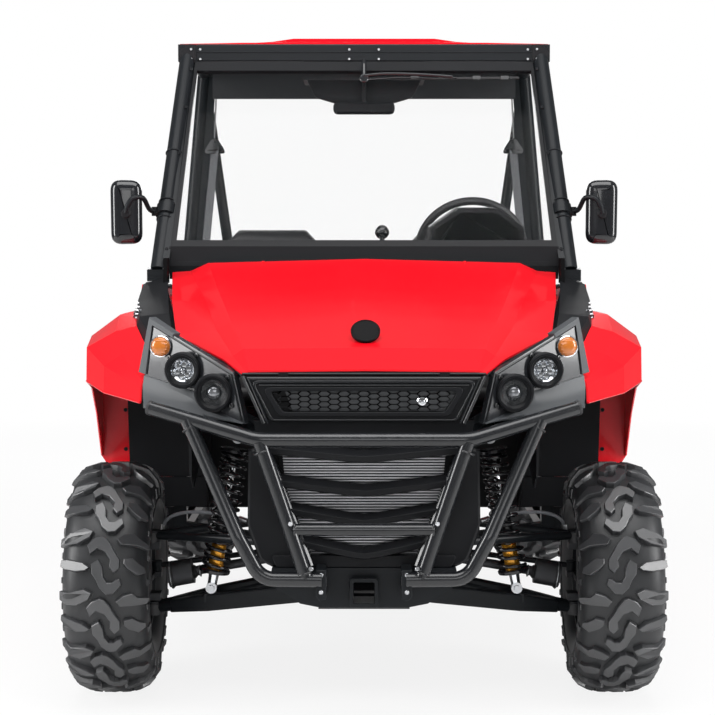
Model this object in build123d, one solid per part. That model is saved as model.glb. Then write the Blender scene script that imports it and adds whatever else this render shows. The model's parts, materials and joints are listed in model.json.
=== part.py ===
"""Side-by-side utility vehicle with a two-seat cab and a tilting cargo bed.

Millimetres. The front faces -Y, +X is the driver's left-hand side, +Z is up and
the ground is Z = 0. The origin is the middle of the footprint.
"""
import os
from math import cos, hypot, pi, radians, sin

from build123d import *

os.makedirs("parts", exist_ok=True)

# ---- driving dimensions -------------------------------------------------
WHEELBASE = 2000.0
FRONT_AXLE_Y = -950.0
REAR_AXLE_Y = FRONT_AXLE_Y + WHEELBASE
TYRE_RADIUS = 325.0
AXLE_Z = TYRE_RADIUS
FRONT_TYRE_WIDTH = 235.0
REAR_TYRE_WIDTH = 270.0
FRONT_HALF_TRACK = 699.0
REAR_HALF_TRACK = 655.0
RIM_RADIUS = 152.0
KINGPIN_X = 600.0
RUN_GAP = 6.0            # clearance between pieces that move past each other
SEAT_GAP = 0.3           # clearance between pieces that only touch
WHEEL_SIDES = 32         # flats round a tyre's carcass
BARREL_WALL = 8.0        # from the wheel's bead radius to its inside

FRAME_TUBE = 19.0        # half the side of the main frame's square tubes
RAIL_X = 120.0           # lower rails
RAIL_Z = 330.0
SKID_THICK = 5.0
SKID_TOP = RAIL_Z - FRAME_TUBE
SILL_X = 560.0           # outer rails under the doors
SILL_Z = 400.0
CAB_FRONT_Y = -560.0
CAB_REAR_Y = 560.0
BED_RAIL_X = 300.0
BED_RAIL_Z = 690.0
TOWER_X = 352.0          # tops of the front dampers
TOWER_Z = 745.0

ROPS_TUBE = 24.0         # radius of the cab's roll cage tubes
PILLAR_FOOT = (617.0, -620.0, 1185.0)
PILLAR_HEAD = (575.0, -100.0, 1866.0)
REAR_POST_FOOT = (645.0, CAB_REAR_Y, 1185.0)
REAR_POST_HEAD = (582.0, CAB_REAR_Y - 40.0, 1866.0)
HEADER_Z = 1886.0
HEADER_HALF = 27.0
VALANCE_Z = 1788.0       # lower edge of the lining behind the seats
RAIL_TOP_Z = HEADER_Z + HEADER_HALF - ROPS_TUBE
FOOT_PAD = 30.0          # half the side of the flanges under the cage's posts
FLANGE = 18.0            # flange's depth below the post's foot

FLOOR_Z = 456.0
FLOOR_THICK = 6.0
SEAT_X = 330.0
SEAT_WIDTH = 480.0
SEAT_TOP_Z = 800.0
SEAT_THICK = 110.0
BACK_THICK = 100.0

BED_HALF = 640.0
BED_FRONT_Y = 650.0
BED_REAR_Y = 1440.0
BED_FLOOR_Z = 760.0
BED_SIDE_Z = 1050.0
BED_WALL = 30.0
BED_HINGE_Y = 1385.0
BED_HINGE_Z = 722.0
BED_PIN = 8.0
TAILGATE_HINGE_Y = BED_REAR_Y + 16.0
TAILGATE_HINGE_Z = BED_FLOOR_Z - 15.0
TAILGATE_PIN = 4.0
TAILGATE_EAR_X = 565.0

HOOD_HINGE_Y = -632.0
HOOD_HINGE_Z = 1190.0
HOOD_THICK = 5.0
HOOD_PIN = 5.0
HOOD_EAR_X = 300.0

DOOR_X = 672.0           # middle of the door's thickness
DOOR_THICK = 36.0
DOOR_FRONT_Y = -488.0
DOOR_REAR_Y = 500.0
DOOR_LOW_Z = 470.0
DOOR_TOP_Z = 1140.0
DOOR_HINGE_Y = DOOR_FRONT_Y - 10.0
DOOR_HINGE_X = DOOR_X + DOOR_THICK / 2 + 12.0
DOOR_HINGE_HEIGHTS = (610.0, 840.0)
DOOR_PIN = 5.0
DOOR_BARREL = 34.0       # length of the barrel on the door

COLUMN_TILT = 25.0       # of the column above level
STEERING_CENTRE = (365.0, 100.0, 1248.0)
STEERING_RADIUS = 178.0
STEERING_RIM = 14.0

TIE_ROD_Y = 105.0        # steering arm's length behind the kingpin
TIE_ROD_Z = 335.0
TIE_ROD_RADIUS = 8.0

GUARD_TUBE = 19.0
RECEIVER_HALF = 33.0
RECEIVER_WALL = 6.0
RECEIVER_Z = 371.0
RECEIVER_PIN_RADIUS = 8.0


# ---- helpers ------------------------------------------------------------
def box(x0, x1, y0, y1, z0, z1):
    """Block between two corners."""
    middle = ((x0 + x1) / 2, (y0 + y1) / 2, (z0 + z1) / 2)
    return Pos(*middle) * Box(abs(x1 - x0), abs(y1 - y0), abs(z1 - z0))


def rod(start, end, radius):
    """Round bar between two points."""
    start, end = Vector(*start), Vector(*end)
    plane = Plane(origin=start, z_dir=end - start)
    return extrude(plane * Circle(radius), (end - start).length)


def beam(start, end, half):
    """Square tube between two points."""
    start, end = Vector(*start), Vector(*end)
    along = (end - start).normalized()
    side = Vector(0, 1, 0) if abs(along.Y) < 0.7 else Vector(1, 0, 0)
    plane = Plane(origin=start, x_dir=side - along * side.dot(along), z_dir=along)
    return extrude(plane * Rectangle(2 * half, 2 * half), (end - start).length)


def bent_tube(points, radius, bends):
    """Round tube through the points, its corners bent to the given radii."""
    path = FilletPolyline(*points, radius=bends)
    start = Plane(origin=path @ 0, z_dir=path % 0)
    return sweep(start * Circle(radius), path=path)


def mirrored(shape):
    """The same piece on the vehicle's other side."""
    return mirror(shape, about=Plane.YZ)


def both(*shapes):
    """Each piece with its mirror image."""
    return [*shapes, *[mirrored(shape) for shape in shapes]]


def side_prism(points, x0, x1):
    """Outline of (y, z) points, extruded across the vehicle."""
    plane = Plane(origin=(x0, 0, 0), x_dir=(0, 1, 0), z_dir=(1, 0, 0))
    return extrude(plane * make_face(Polyline(*points, close=True)), x1 - x0)


def front_prism(points, y0, y1):
    """Outline of (x, z) points, extruded along the vehicle."""
    plane = Plane(origin=(0, y1, 0), x_dir=(1, 0, 0), z_dir=(0, -1, 0))
    return extrude(plane * make_face(Polyline(*points, close=True)), y1 - y0)


def plan_prism(points, z0, z1):
    """Outline of (x, y) points, extruded upwards."""
    return extrude(Pos(0, 0, z0) * make_face(Polyline(*points, close=True)), z1 - z0)


def skin(sections, thick):
    """Thin shell through cross-sections of (y, [(x, z), ...]) from left to right."""
    faces = []
    for y, points in sections:
        lower = [(x, z - thick) for x, z in reversed(points)]
        plane = Plane(origin=(0, y, 0), x_dir=(1, 0, 0), z_dir=(0, -1, 0))
        faces.append(plane * make_face(Polyline(*points, *lower, close=True)))
    return loft(faces, ruled=True)


def fuse(*shapes):
    """One solid out of pieces that are welded or moulded together."""
    whole = shapes[0]
    for shape in shapes[1:]:
        whole = whole + shape
    return whole


def save(name, *shapes):
    """Write one node from its separate solids."""
    solids = [solid for shape in shapes for solid in shape.solids()]
    node = Compound(children=solids) if len(solids) > 1 else solids[0]
    export_step(node, f"parts/{name}.step")


# ---- wheels -------------------------------------------------------------
def drum(stations, sides):
    """Solid with flats round the X axis, through stations of (x, radius)."""
    faces = []
    for x, radius in stations:
        plane = Plane(origin=(x, 0, 0), x_dir=(0, 1, 0), z_dir=(1, 0, 0))
        faces.append(plane * RegularPolygon(radius, sides))
    return loft(faces, ruled=True)


def tyre(width):
    """Carcass with its tread, centred on the origin, axis along X."""
    half = width / 2
    # half-width, radius from the middle of the tread to the bead
    profile = ((0.42 * half, TYRE_RADIUS), (0.80 * half, TYRE_RADIUS - 14),
               (half, TYRE_RADIUS - 70), (0.97 * half, RIM_RADIUS + 62),
               (0.76 * half, RIM_RADIUS + 15))
    left = [(-x, radius) for x, radius in reversed(profile)]
    outer = drum([*left, *profile], WHEEL_SIDES)
    bead = (RIM_RADIUS + BARREL_WALL + SEAT_GAP) / cos(pi / WHEEL_SIDES)
    return outer - drum([(-width, bead), (width, bead)], WHEEL_SIDES)


def rim(width, inboard):
    """Barrel, spoked disc, hub and brake disc. The outside faces +X."""
    half = 0.76 * width / 2
    barrel = Rot(0, 90, 0) * Cylinder(RIM_RADIUS + BARREL_WALL, 2 * half)
    barrel = barrel - Rot(0, 90, 0) * Cylinder(RIM_RADIUS - 2, 2 * half + 2)
    dish = 0.45 * half
    disc = Pos(dish, 0, 0) * Rot(0, 90, 0) * Cylinder(RIM_RADIUS + 2, 14)
    windows = []
    for number in range(7):
        angle = 360 / 7 * number
        cut = Pos(dish, 0, 0) * Rot(angle, 0, 0) * Pos(0, 0, 98) * Box(60, 62, 52)
        windows.append(cut)
    for cut in windows:
        disc = disc - cut
    hub = Pos(dish - 12, 0, 0) * Rot(0, 90, 0) * Cylinder(52, 50)
    cap = Pos(dish + 18, 0, 0) * Rot(0, 90, 0) * Cylinder(32, 30)
    brake = Pos(inboard + 4, 0, 0) * Rot(0, 90, 0) * Cylinder(108, 6)
    snout = Pos((inboard + dish) / 2, 0, 0) * Rot(0, 90, 0) * Cylinder(34, dish - inboard)
    return fuse(barrel, disc, hub, cap, snout, brake)


FRONT_HUB_X = KINGPIN_X + 46 - FRONT_HALF_TRACK
REAR_HUB_X = FRONT_HUB_X
WHEELS = (  # name, half track, axle y, tyre width, hub's inner face from the wheel's middle
    ("front", FRONT_HALF_TRACK, FRONT_AXLE_Y, FRONT_TYRE_WIDTH, FRONT_HUB_X),
    ("rear", REAR_HALF_TRACK, REAR_AXLE_Y, REAR_TYRE_WIDTH, REAR_HUB_X),
)
for end, track, axle_y, width, hub_x in WHEELS:
    placed_tyre = Pos(track, axle_y, AXLE_Z) * tyre(width)
    placed_rim = Pos(track, axle_y, AXLE_Z) * rim(width, hub_x)
    save(f"tyre_{end}_left", placed_tyre)
    save(f"rim_{end}_left", placed_rim)
    save(f"tyre_{end}_right", mirrored(placed_tyre))
    save(f"rim_{end}_right", mirrored(placed_rim))


# ---- suspension points, which the frame carries -------------------------
ARM_LOW_Z = 236.0        # lower ball joint
ARM_HIGH_Z = 442.0       # upper ball joint
DAMPER_OFFSET = 48.0     # dampers stand this far ahead of or behind the axle
DAMPER_FOOT = (429.0, FRONT_AXLE_Y - DAMPER_OFFSET, 302.0)
DAMPER_HEAD = (TOWER_X, FRONT_AXLE_Y - DAMPER_OFFSET, TOWER_Z - 20)
REAR_DAMPER_FOOT = (405.0, REAR_AXLE_Y + DAMPER_OFFSET, 302.0)
REAR_DAMPER_HEAD = (BED_RAIL_X + 20, REAR_AXLE_Y + DAMPER_OFFSET, BED_RAIL_Z - 42)
PIVOT_X = RAIL_X + FRAME_TUBE + 24
PIVOT_Z = 306.0
REAR_TIP_X = 560.0
PIVOT_HALF = 26.0
LOW_SPREAD = 120.0       # inner pivots ahead of and behind the axle
HIGH_PIVOT_X = 262.0
HIGH_SPREAD = 192.0

# ---- main frame ---------------------------------------------------------
SHOULDER_Y = 1330.0
FENDER_REAR_Y = -547.0
REAR_FENDER_Z = 690.0
LAMP_PLANE = Plane(origin=(339, -1350, 935), x_dir=(0.85, 0.527, 0), z_dir=(0.527, -0.85, 0))
POD_DEPTH = 20.0
NOSE_FRAME_Y = -1290.0
NOSE_HALF = 215.0
NOSE_HIGH_Z = 760.0
NOSE_TOP = (NOSE_HALF, NOSE_FRAME_Y, NOSE_HIGH_Z)
TOWER_TOP = (TOWER_X, FRONT_AXLE_Y + 5, TOWER_Z + 45)
CAB_TUBES = (  # start, end, each with its mirror image
    ((RAIL_X, NOSE_FRAME_Y, RAIL_Z), (RAIL_X, SHOULDER_Y, RAIL_Z)),
    ((SILL_X, CAB_FRONT_Y, SILL_Z), (SILL_X, CAB_REAR_Y, SILL_Z)),
    ((SILL_X, CAB_FRONT_Y, SILL_Z), (SILL_X, CAB_FRONT_Y, 880)),
    ((SILL_X, CAB_FRONT_Y, 880), (PILLAR_FOOT[0], PILLAR_FOOT[1], PILLAR_FOOT[2] - 28)),
    ((SILL_X, CAB_REAR_Y, SILL_Z), (SILL_X, CAB_REAR_Y, 700)),
    ((SILL_X, CAB_REAR_Y, 700), (REAR_POST_FOOT[0], REAR_POST_FOOT[1], REAR_POST_FOOT[2] - 28)),
    ((RAIL_X, -540, RAIL_Z), (SILL_X, CAB_FRONT_Y, SILL_Z)),
    ((RAIL_X, 540, RAIL_Z), (SILL_X, CAB_REAR_Y, SILL_Z)),
)
NOSE_TUBES = (
    ((RAIL_X, NOSE_FRAME_Y, RAIL_Z), NOSE_TOP),
    (NOSE_TOP, TOWER_TOP),
    (TOWER_TOP, (SILL_X, CAB_FRONT_Y, 880)),
    ((RAIL_X, -700, RAIL_Z), TOWER_TOP),
)
TAIL_TUBES = (
    ((RAIL_X, SHOULDER_Y, RAIL_Z), (BED_RAIL_X, SHOULDER_Y, BED_RAIL_Z)),
    ((BED_RAIL_X, CAB_REAR_Y, BED_RAIL_Z), (BED_RAIL_X, SHOULDER_Y, BED_RAIL_Z)),
    ((RAIL_X, CAB_REAR_Y, RAIL_Z), (BED_RAIL_X, CAB_REAR_Y, BED_RAIL_Z)),
)
CAB_CROSS = (  # half-length, y, z
    (RAIL_X, NOSE_FRAME_Y, RAIL_Z), (RAIL_X, -700, RAIL_Z), (RAIL_X, CAB_REAR_Y, RAIL_Z),
    (RAIL_X, SHOULDER_Y, RAIL_Z), (SILL_X, CAB_FRONT_Y, 880), (SILL_X, CAB_REAR_Y, BED_RAIL_Z),
)
NOSE_CROSS = ((NOSE_TOP[0], NOSE_TOP[1], NOSE_TOP[2]), (TOWER_TOP[0], TOWER_TOP[1], TOWER_TOP[2]))
TAIL_CROSS = ((BED_RAIL_X, SHOULDER_Y, BED_RAIL_Z), (BED_RAIL_X, REAR_AXLE_Y + 40, BED_RAIL_Z))


def tubes(runs, crosses):
    """Square tubes on both sides, with the tubes across."""
    pieces = []
    for start, end in runs:
        pieces += both(beam(start, end, FRAME_TUBE))
    for half, y, z in crosses:
        pieces.append(beam((-half, y, z), (half, y, z), FRAME_TUBE - 1.5))
    return pieces


def welded(shape, carrier):
    """The shape cut back to the faces of what it is welded to."""
    return (shape - carrier).solids().sort_by(SortBy.VOLUME)[-1]


def arm_brackets(axle_y, carrier):
    """Posts and lugs of the upper wishbones' inner pivots, welded to the rails."""
    brackets = []
    for side in (-1, 1):
        y, z = axle_y + side * HIGH_SPREAD, ARM_HIGH_Z + 14
        half = PIVOT_HALF + SEAT_GAP
        inner = HIGH_PIVOT_X - 40
        post = beam((RAIL_X, y, RAIL_Z), (HIGH_PIVOT_X - 36, y, z), 12)
        back = box(inner, inner + 10, y - half - 7, y + half + 7, z - 16, z + 16)
        near = box(inner, HIGH_PIVOT_X + 13, y - half - 7, y - half, z - 16, z + 16)
        far = box(inner, HIGH_PIVOT_X + 13, y + half, y + half + 7, z - 16, z + 16)
        brackets += both(welded(fuse(post, back, near, far), carrier))
    return brackets


def main_frame():
    """Lower rails, sills and cab posts with their cross tubes and lugs."""
    pieces = tubes(CAB_TUBES, CAB_CROSS)
    for foot in (PILLAR_FOOT, REAR_POST_FOOT):
        pieces += both(box(foot[0] - FOOT_PAD, foot[0] + FOOT_PAD, foot[1] - FOOT_PAD,
                           foot[1] + FOOT_PAD, foot[2] - FLANGE - 12,
                           foot[2] - FLANGE - SEAT_GAP))
    for z in (620, 860):
        pieces += both(box(SILL_X, 722, FENDER_REAR_Y + SEAT_GAP, FENDER_REAR_Y + 12, z, z + 12))
    for z in DOOR_HINGE_HEIGHTS:
        low = z - DOOR_BARREL / 2 - SEAT_GAP
        reach = box(SILL_X, SILL_X + 14, CAB_FRONT_Y, DOOR_HINGE_Y - 10, low - 7, low)
        arm = box(SILL_X, DOOR_HINGE_X + 9, DOOR_HINGE_Y - 24, DOOR_HINGE_Y - 9, low - 7, low)
        pad = box(DOOR_HINGE_X - 9, DOOR_HINGE_X + 9, DOOR_HINGE_Y - 12, DOOR_HINGE_Y + 6, low - 7, low)
        pin = Pos(DOOR_HINGE_X, DOOR_HINGE_Y, low + 14) * Cylinder(DOOR_PIN, 30)
        pieces += both(reach, arm, pad, pin)
    for axle_y in (FRONT_AXLE_Y, REAR_AXLE_Y):
        for side in (-1, 1):
            for y in (-PIVOT_HALF - 7, PIVOT_HALF + SEAT_GAP):
                place = axle_y + side * LOW_SPREAD + y
                lug = box(RAIL_X + 5, PIVOT_X + 20, place, place + 6.5, PIVOT_Z - 20, RAIL_Z + 14)
                pieces += both(lug)
    return fuse(*pieces)


def nose_frame(carrier):
    """Front hoop, damper towers, lamp stays and the front upper pivots."""
    pieces = tubes(NOSE_TUBES, NOSE_CROSS)
    pod_back = LAMP_PLANE * Pos(100, -50, 200 - POD_DEPTH - SEAT_GAP) * Box(900, 900, 400)
    pieces += both(beam(NOSE_TOP, (460, -1230, 900), 9) - pod_back)
    return [welded(fuse(*pieces), carrier), *arm_brackets(FRONT_AXLE_Y, carrier)]


def tail_frame(carrier):
    """Bed rails on their posts, the bed's hinge ears and the rear upper pivots."""
    pieces = tubes(TAIL_TUBES, TAIL_CROSS)
    for y in (830, 1270):
        stay_z = REAR_FENDER_Z - 6 - SEAT_GAP - 10
        pieces += both(rod((BED_RAIL_X, y, stay_z), (720, y, stay_z), 10))
    ear = box(BED_RAIL_X - 18, BED_RAIL_X - 6, SHOULDER_Y - 10, BED_HINGE_Y + 14,
              BED_RAIL_Z - 12, BED_HINGE_Z + 8)
    ear = ear - Pos(0, BED_HINGE_Y, BED_HINGE_Z) * Rot(0, 90, 0) * Cylinder(
        BED_PIN + SEAT_GAP, 1000)
    pieces += both(ear)
    return [welded(fuse(*pieces), carrier), *arm_brackets(REAR_AXLE_Y, carrier)]


frame_solid = main_frame()
save("main_frame", frame_solid)
save("nose_frame", *nose_frame(frame_solid))
save("tail_frame", *tail_frame(frame_solid))


# ---- underbody and drive ------------------------------------------------
NOSE_Y = -1390.0
PROP_Z = 430.0
PROP_REAR_Z = 400.0
FRONT_GEAR_Z = 400.0
REAR_GEAR_Z = 418.0
ENGINE_REAR_Y = 840.0


def skid_plate():
    """Formed belly plate with a raised nose, cut for the front receiver."""
    sections = (  # y, lift of the whole section
        (SHOULDER_Y, 0.0), (NOSE_FRAME_Y - FRAME_TUBE, 0.0), (NOSE_FRAME_Y - 60, 22.0))
    faces = []
    for y, lift in sections:
        plane = Plane(origin=(0, y, SKID_TOP + lift), x_dir=(1, 0, 0), z_dir=(0, -1, 0))
        faces.append(plane * Pos(0, -SKID_THICK / 2) * Rectangle(2 * RAIL_X, SKID_THICK))
    plate = loft(faces, ruled=True)
    nose = front_prism([(-165, 337), (-120, 328), (120, 328), (165, 337), (246, 390),
                        (238, 430), (-238, 430), (-246, 390)], NOSE_Y, NOSE_Y + 55)
    pocket = front_prism([(-155, 345), (155, 345), (228, 392), (222, 425), (-222, 425),
                          (-228, 392)], NOSE_Y + SKID_THICK, NOSE_Y + 56)
    half = RECEIVER_HALF + SEAT_GAP
    window = box(-half, half, NOSE_Y - 1, NOSE_Y + 56, RECEIVER_Z - half, RECEIVER_Z + half)
    return fuse(plate, nose - pocket) - window


def front_receiver():
    """Square drawbar socket through the skid plate's nose."""
    sleeve = box(-RECEIVER_HALF, RECEIVER_HALF, -1418, -1329, RECEIVER_Z - RECEIVER_HALF,
                 RECEIVER_Z + RECEIVER_HALF)
    inside = RECEIVER_HALF - RECEIVER_WALL
    socket = box(-inside, inside, -1419, -1328, RECEIVER_Z - inside, RECEIVER_Z + inside)
    pin = Pos(0, -1400, RECEIVER_Z) * Rot(0, 90, 0) * Cylinder(RECEIVER_PIN_RADIUS, 100)
    return sleeve - socket - pin


def rear_hitch():
    """Drawbar with its square socket and the bumper tube across the tail."""
    length = 120.0
    rear = 1495.0
    z = 400.0
    sleeve = box(-RECEIVER_HALF, RECEIVER_HALF, rear - length, rear, z - RECEIVER_HALF,
                 z + RECEIVER_HALF)
    inside = RECEIVER_HALF - RECEIVER_WALL
    socket = box(-inside, inside, rear - length - 1, rear + 1, z - inside, z + inside)
    plate = box(-RAIL_X - 20, RAIL_X + 20, SHOULDER_Y + FRAME_TUBE, rear - length + 10,
                z - 45, z + 45)
    pin = Pos(0, rear - 30, z) * Rot(0, 90, 0) * Cylinder(RECEIVER_PIN_RADIUS, 100)
    return fuse(plate, sleeve) - socket - pin


def driveline():
    """Front gearcase, rear transaxle, prop shaft and four half shafts."""
    rest = RAIL_Z + FRAME_TUBE + SEAT_GAP
    feet = box(-RAIL_X - 14, RAIL_X + 14, FRONT_AXLE_Y - 40, FRONT_AXLE_Y + 40, rest, rest + 12)
    front = fuse(box(-75, 75, FRONT_AXLE_Y - 70, FRONT_AXLE_Y + 64, rest, 450), feet,
                 Pos(0, FRONT_AXLE_Y, FRONT_GEAR_Z) * Rot(0, 90, 0) * Cylinder(48, 220))
    feet = box(-RAIL_X - 14, RAIL_X + 14, REAR_AXLE_Y - 40, REAR_AXLE_Y + 40, rest, rest + 12)
    rear = fuse(box(-95, 95, REAR_AXLE_Y - 110, REAR_AXLE_Y + 90, rest, 520), feet,
                Pos(0, REAR_AXLE_Y, REAR_GEAR_Z) * Rot(0, 90, 0) * Cylinder(60, 240))
    prop = rod((0, FRONT_AXLE_Y + 60, PROP_Z), (0, REAR_AXLE_Y - 100, PROP_REAR_Z), 22)
    pieces = [front, rear, prop]
    for axle_y, z, outer in ((FRONT_AXLE_Y, FRONT_GEAR_Z, KINGPIN_X - 45),
                             (REAR_AXLE_Y, REAR_GEAR_Z, REAR_TIP_X - 20)):
        inner_joint = rod((105, axle_y, z), (175, axle_y, z - 8), 36)
        shaft = rod((160, axle_y, z - 6), (outer, axle_y, AXLE_Z + 2), 13)
        boot = rod((outer - 70, axle_y, AXLE_Z + 14), (outer, axle_y, AXLE_Z + 1), 34)
        pieces += both(inner_joint, shaft, boot)
    return fuse(*pieces)


def engine_block():
    """Plain block where the engine and gearbox sit under the bed."""
    low = PROP_Z + 22
    block = box(-200, 200, 600, ENGINE_REAR_Y, low, 640)
    cover = box(-120, 60, 620, 800, 640, 668)
    feet = []
    for y in (640, 790):
        feet += both(box(RAIL_X - 15, RAIL_X + 15, y - 20, y + 20, RAIL_Z + FRAME_TUBE + SEAT_GAP, low))
    return fuse(block, cover, *feet)


def muffler():
    """Silencer across the tail with its outlet."""
    can = Pos(0, 1238, 545) * Rot(0, 90, 0) * Cylinder(72, 370)
    outlet = rod((60, 1290, 545), (60, 1425, 520), 24)
    inlet = rod((-100, ENGINE_REAR_Y + 3, 575), (-120, 1200, 545), 22)
    beam_low = BED_RAIL_Z - FRAME_TUBE + 1.5 - SEAT_GAP
    hanger = side_prism([(1225, 600), (1320, beam_low), (1340, beam_low), (1255, 600)], -85, -60)
    return fuse(can, outlet, inlet, hanger)


save("skid_plate", skid_plate())
save("front_receiver", front_receiver())
save("rear_hitch", rear_hitch())
save("driveline", driveline())
save("engine_block", engine_block())
save("muffler", muffler())


# ---- suspension ---------------------------------------------------------
def arm_pair(axle_y, tip_x, foot):
    """Lower and upper wishbone of one side, with the damper's saddle."""
    low_tip = (tip_x, axle_y, ARM_LOW_Z)
    high_tip = (tip_x, axle_y, ARM_HIGH_Z)
    lower, upper = [], []
    for side in (-1, 1):
        y = axle_y + side * LOW_SPREAD
        lower.append(rod((PIVOT_X, y, PIVOT_Z), low_tip, 17))
        lower.append(rod((PIVOT_X, y - PIVOT_HALF, PIVOT_Z), (PIVOT_X, y + PIVOT_HALF, PIVOT_Z), 22))
        y = axle_y + side * HIGH_SPREAD
        z = ARM_HIGH_Z + 14
        upper.append(rod((HIGH_PIVOT_X, y, z), high_tip, 12))
        upper.append(rod((HIGH_PIVOT_X, y - PIVOT_HALF, z), (HIGH_PIVOT_X, y + PIVOT_HALF, z), 17))
    lower.append(Pos(*low_tip) * Cylinder(26, 37.4))
    upper.append(Pos(*high_tip) * Cylinder(22, 30))
    web = plan_prism([(foot[0] + 45, axle_y - 36), (foot[0] + 45, axle_y + 36),
                      (foot[0] - 55, axle_y + 62), (foot[0] - 55, axle_y - 62)], 262, 270)
    saddle = box(foot[0] - 20, foot[0] + 20, foot[1] - 14, foot[1] + 14, 262,
                 foot[2] - 16 - SEAT_GAP)
    return fuse(*lower, web, saddle), fuse(*upper)


def damper(foot, head):
    """Body, rod and eyes of one damper."""
    foot, head = Vector(*foot), Vector(*head)
    along = (head - foot).normalized()
    body = rod(foot + along * 12, foot + along * 215, 21)
    piston = rod(foot + along * 210, head - along * 8, 9)
    eye_low = Pos(*foot) * Rot(90, 0, 0) * Cylinder(16, 30)
    eye_high = Pos(*head) * Rot(90, 0, 0) * Cylinder(16, 30)
    perch = rod(head - along * 40, head - along * 32, 44)
    collar = rod(foot + along * 96, foot + along * 106, 44)
    return fuse(body, piston, eye_low, eye_high, perch, collar)


def spring(foot, head):
    """Sleeve of a coil spring between the damper's seats."""
    foot, head = Vector(*foot), Vector(*head)
    along = (head - foot).normalized()
    start, end = foot + along * (106 + SEAT_GAP), head - along * (40 + SEAT_GAP)
    return rod(start, end, 41) - rod(start - along, end + along, 30)


FRONT_ARMS = arm_pair(FRONT_AXLE_Y, KINGPIN_X, DAMPER_FOOT)
REAR_ARMS = arm_pair(REAR_AXLE_Y, REAR_TIP_X, REAR_DAMPER_FOOT)
save("wishbones", *both(*FRONT_ARMS, *REAR_ARMS))
save("dampers", *both(damper(DAMPER_FOOT, DAMPER_HEAD), damper(REAR_DAMPER_FOOT, REAR_DAMPER_HEAD)))
save("springs", *both(spring(DAMPER_FOOT, DAMPER_HEAD), spring(REAR_DAMPER_FOOT, REAR_DAMPER_HEAD)))


def upright(x, axle_y, hub_x):
    """Knuckle body, ball joint lugs and the spindle housing."""
    body = box(x + 6, x + 34, axle_y - 30, axle_y + 30, ARM_LOW_Z + 30, ARM_HIGH_Z - 26)
    low = box(x - 24, x + 34, axle_y - 24, axle_y + 24, ARM_LOW_Z + 23, ARM_LOW_Z + 43)
    high = box(x - 22, x + 34, axle_y - 22, axle_y + 22, ARM_HIGH_Z - 38, ARM_HIGH_Z - 17)
    housing = Pos((x + 8 + hub_x) / 2, axle_y, AXLE_Z) * Rot(0, 90, 0) * Cylinder(42, hub_x - x - 8)
    caliper = box(hub_x - 26, hub_x - 3, axle_y - 110, axle_y - 25, AXLE_Z + 20, AXLE_Z + 78)
    studs = [Pos(x, axle_y, ARM_LOW_Z + 26.5) * Cylinder(9, 15),
             Pos(x, axle_y, ARM_HIGH_Z - 22) * Cylinder(9, 13.4)]
    return fuse(body, low, high, housing, caliper, *studs)


front_upright = upright(KINGPIN_X, FRONT_AXLE_Y, FRONT_HALF_TRACK + FRONT_HUB_X - SEAT_GAP)
steering_arm = fuse(
    box(KINGPIN_X + 4, KINGPIN_X + 24, FRONT_AXLE_Y + 20, FRONT_AXLE_Y + TIE_ROD_Y + 14,
        TIE_ROD_Z - 30, TIE_ROD_Z - 15),
    box(KINGPIN_X - 14, KINGPIN_X + 24, FRONT_AXLE_Y + TIE_ROD_Y - 22, FRONT_AXLE_Y + TIE_ROD_Y + 14,
        TIE_ROD_Z - 30, TIE_ROD_Z - 15))
front_upright = fuse(front_upright, steering_arm)
save("knuckle_left", front_upright)
save("knuckle_right", mirrored(front_upright))
save("rear_uprights", *both(upright(REAR_TIP_X, REAR_AXLE_Y, REAR_HALF_TRACK + REAR_HUB_X - SEAT_GAP)))


RACK_Z = TIE_ROD_Z + 42
RACK_HALF = 215.0


def tie_rods():
    """Steering rack's sliding bar with a tie rod and eye at each end."""
    rack_y = FRONT_AXLE_Y + TIE_ROD_Y
    bar = rod((-300, rack_y, RACK_Z), (300, rack_y, RACK_Z), 13)
    pieces = [bar]
    for side in (-1, 1):
        pieces.append(rod((side * 290, rack_y, RACK_Z), (side * KINGPIN_X, rack_y, TIE_ROD_Z),
                          TIE_ROD_RADIUS))
        pieces.append(Pos(side * KINGPIN_X, rack_y, TIE_ROD_Z) * Cylinder(15, 28))
    return fuse(*pieces)


def rack_housing():
    """Tube that guides the rack, with its clamps on the gearcase."""
    rack_y = FRONT_AXLE_Y + TIE_ROD_Y
    tube = rod((-RACK_HALF, rack_y, RACK_Z), (RACK_HALF, rack_y, RACK_Z), 24)
    foot = box(84, 112, rack_y - 16, rack_y + 16, RAIL_Z + FRAME_TUBE, RACK_Z - 8)
    pinion = rod((150, rack_y + 10, RACK_Z + 8), (175, rack_y + 50, RACK_Z + 70), 20)
    shape = fuse(tube, *both(foot), pinion)
    return shape - rod((-260, rack_y, RACK_Z), (260, rack_y, RACK_Z), 13 + SEAT_GAP)


save("tie_rods", tie_rods())
save("steering_rack", rack_housing())


# ---- front end ----------------------------------------------------------
LAMPS = (  # distance out along the pod, height above its plane's origin, radius
    (154.0, 5.0, 42.0), (60.0, -50.0, 44.0))
INDICATOR = (233.0, 62.0, 26.0)


def lamp_pod():
    """Gloss housing with its lamp openings."""
    outline = [(0, 0), (266, 123), (291, -19), (299, -108), (-37, -133)]
    body = extrude(LAMP_PLANE * make_face(Polyline(*outline, close=True)), -POD_DEPTH)
    for out, up, radius in (*LAMPS, INDICATOR):
        body = body - LAMP_PLANE * Pos(out, up, 0) * Cylinder(radius + SEAT_GAP, 200)
    return body


def lamp(out, up, radius):
    """Round lamp with its bezel, seated in the pod."""
    glass = LAMP_PLANE * Pos(out, up, -POD_DEPTH / 2 + 6) * Cylinder(radius, POD_DEPTH + 12)
    return glass


save("lamp_pods", *both(lamp_pod()))
save("headlamps", *both(*[lamp(*size) for size in LAMPS]))
save("indicators", *both(lamp(*INDICATOR)))


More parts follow.
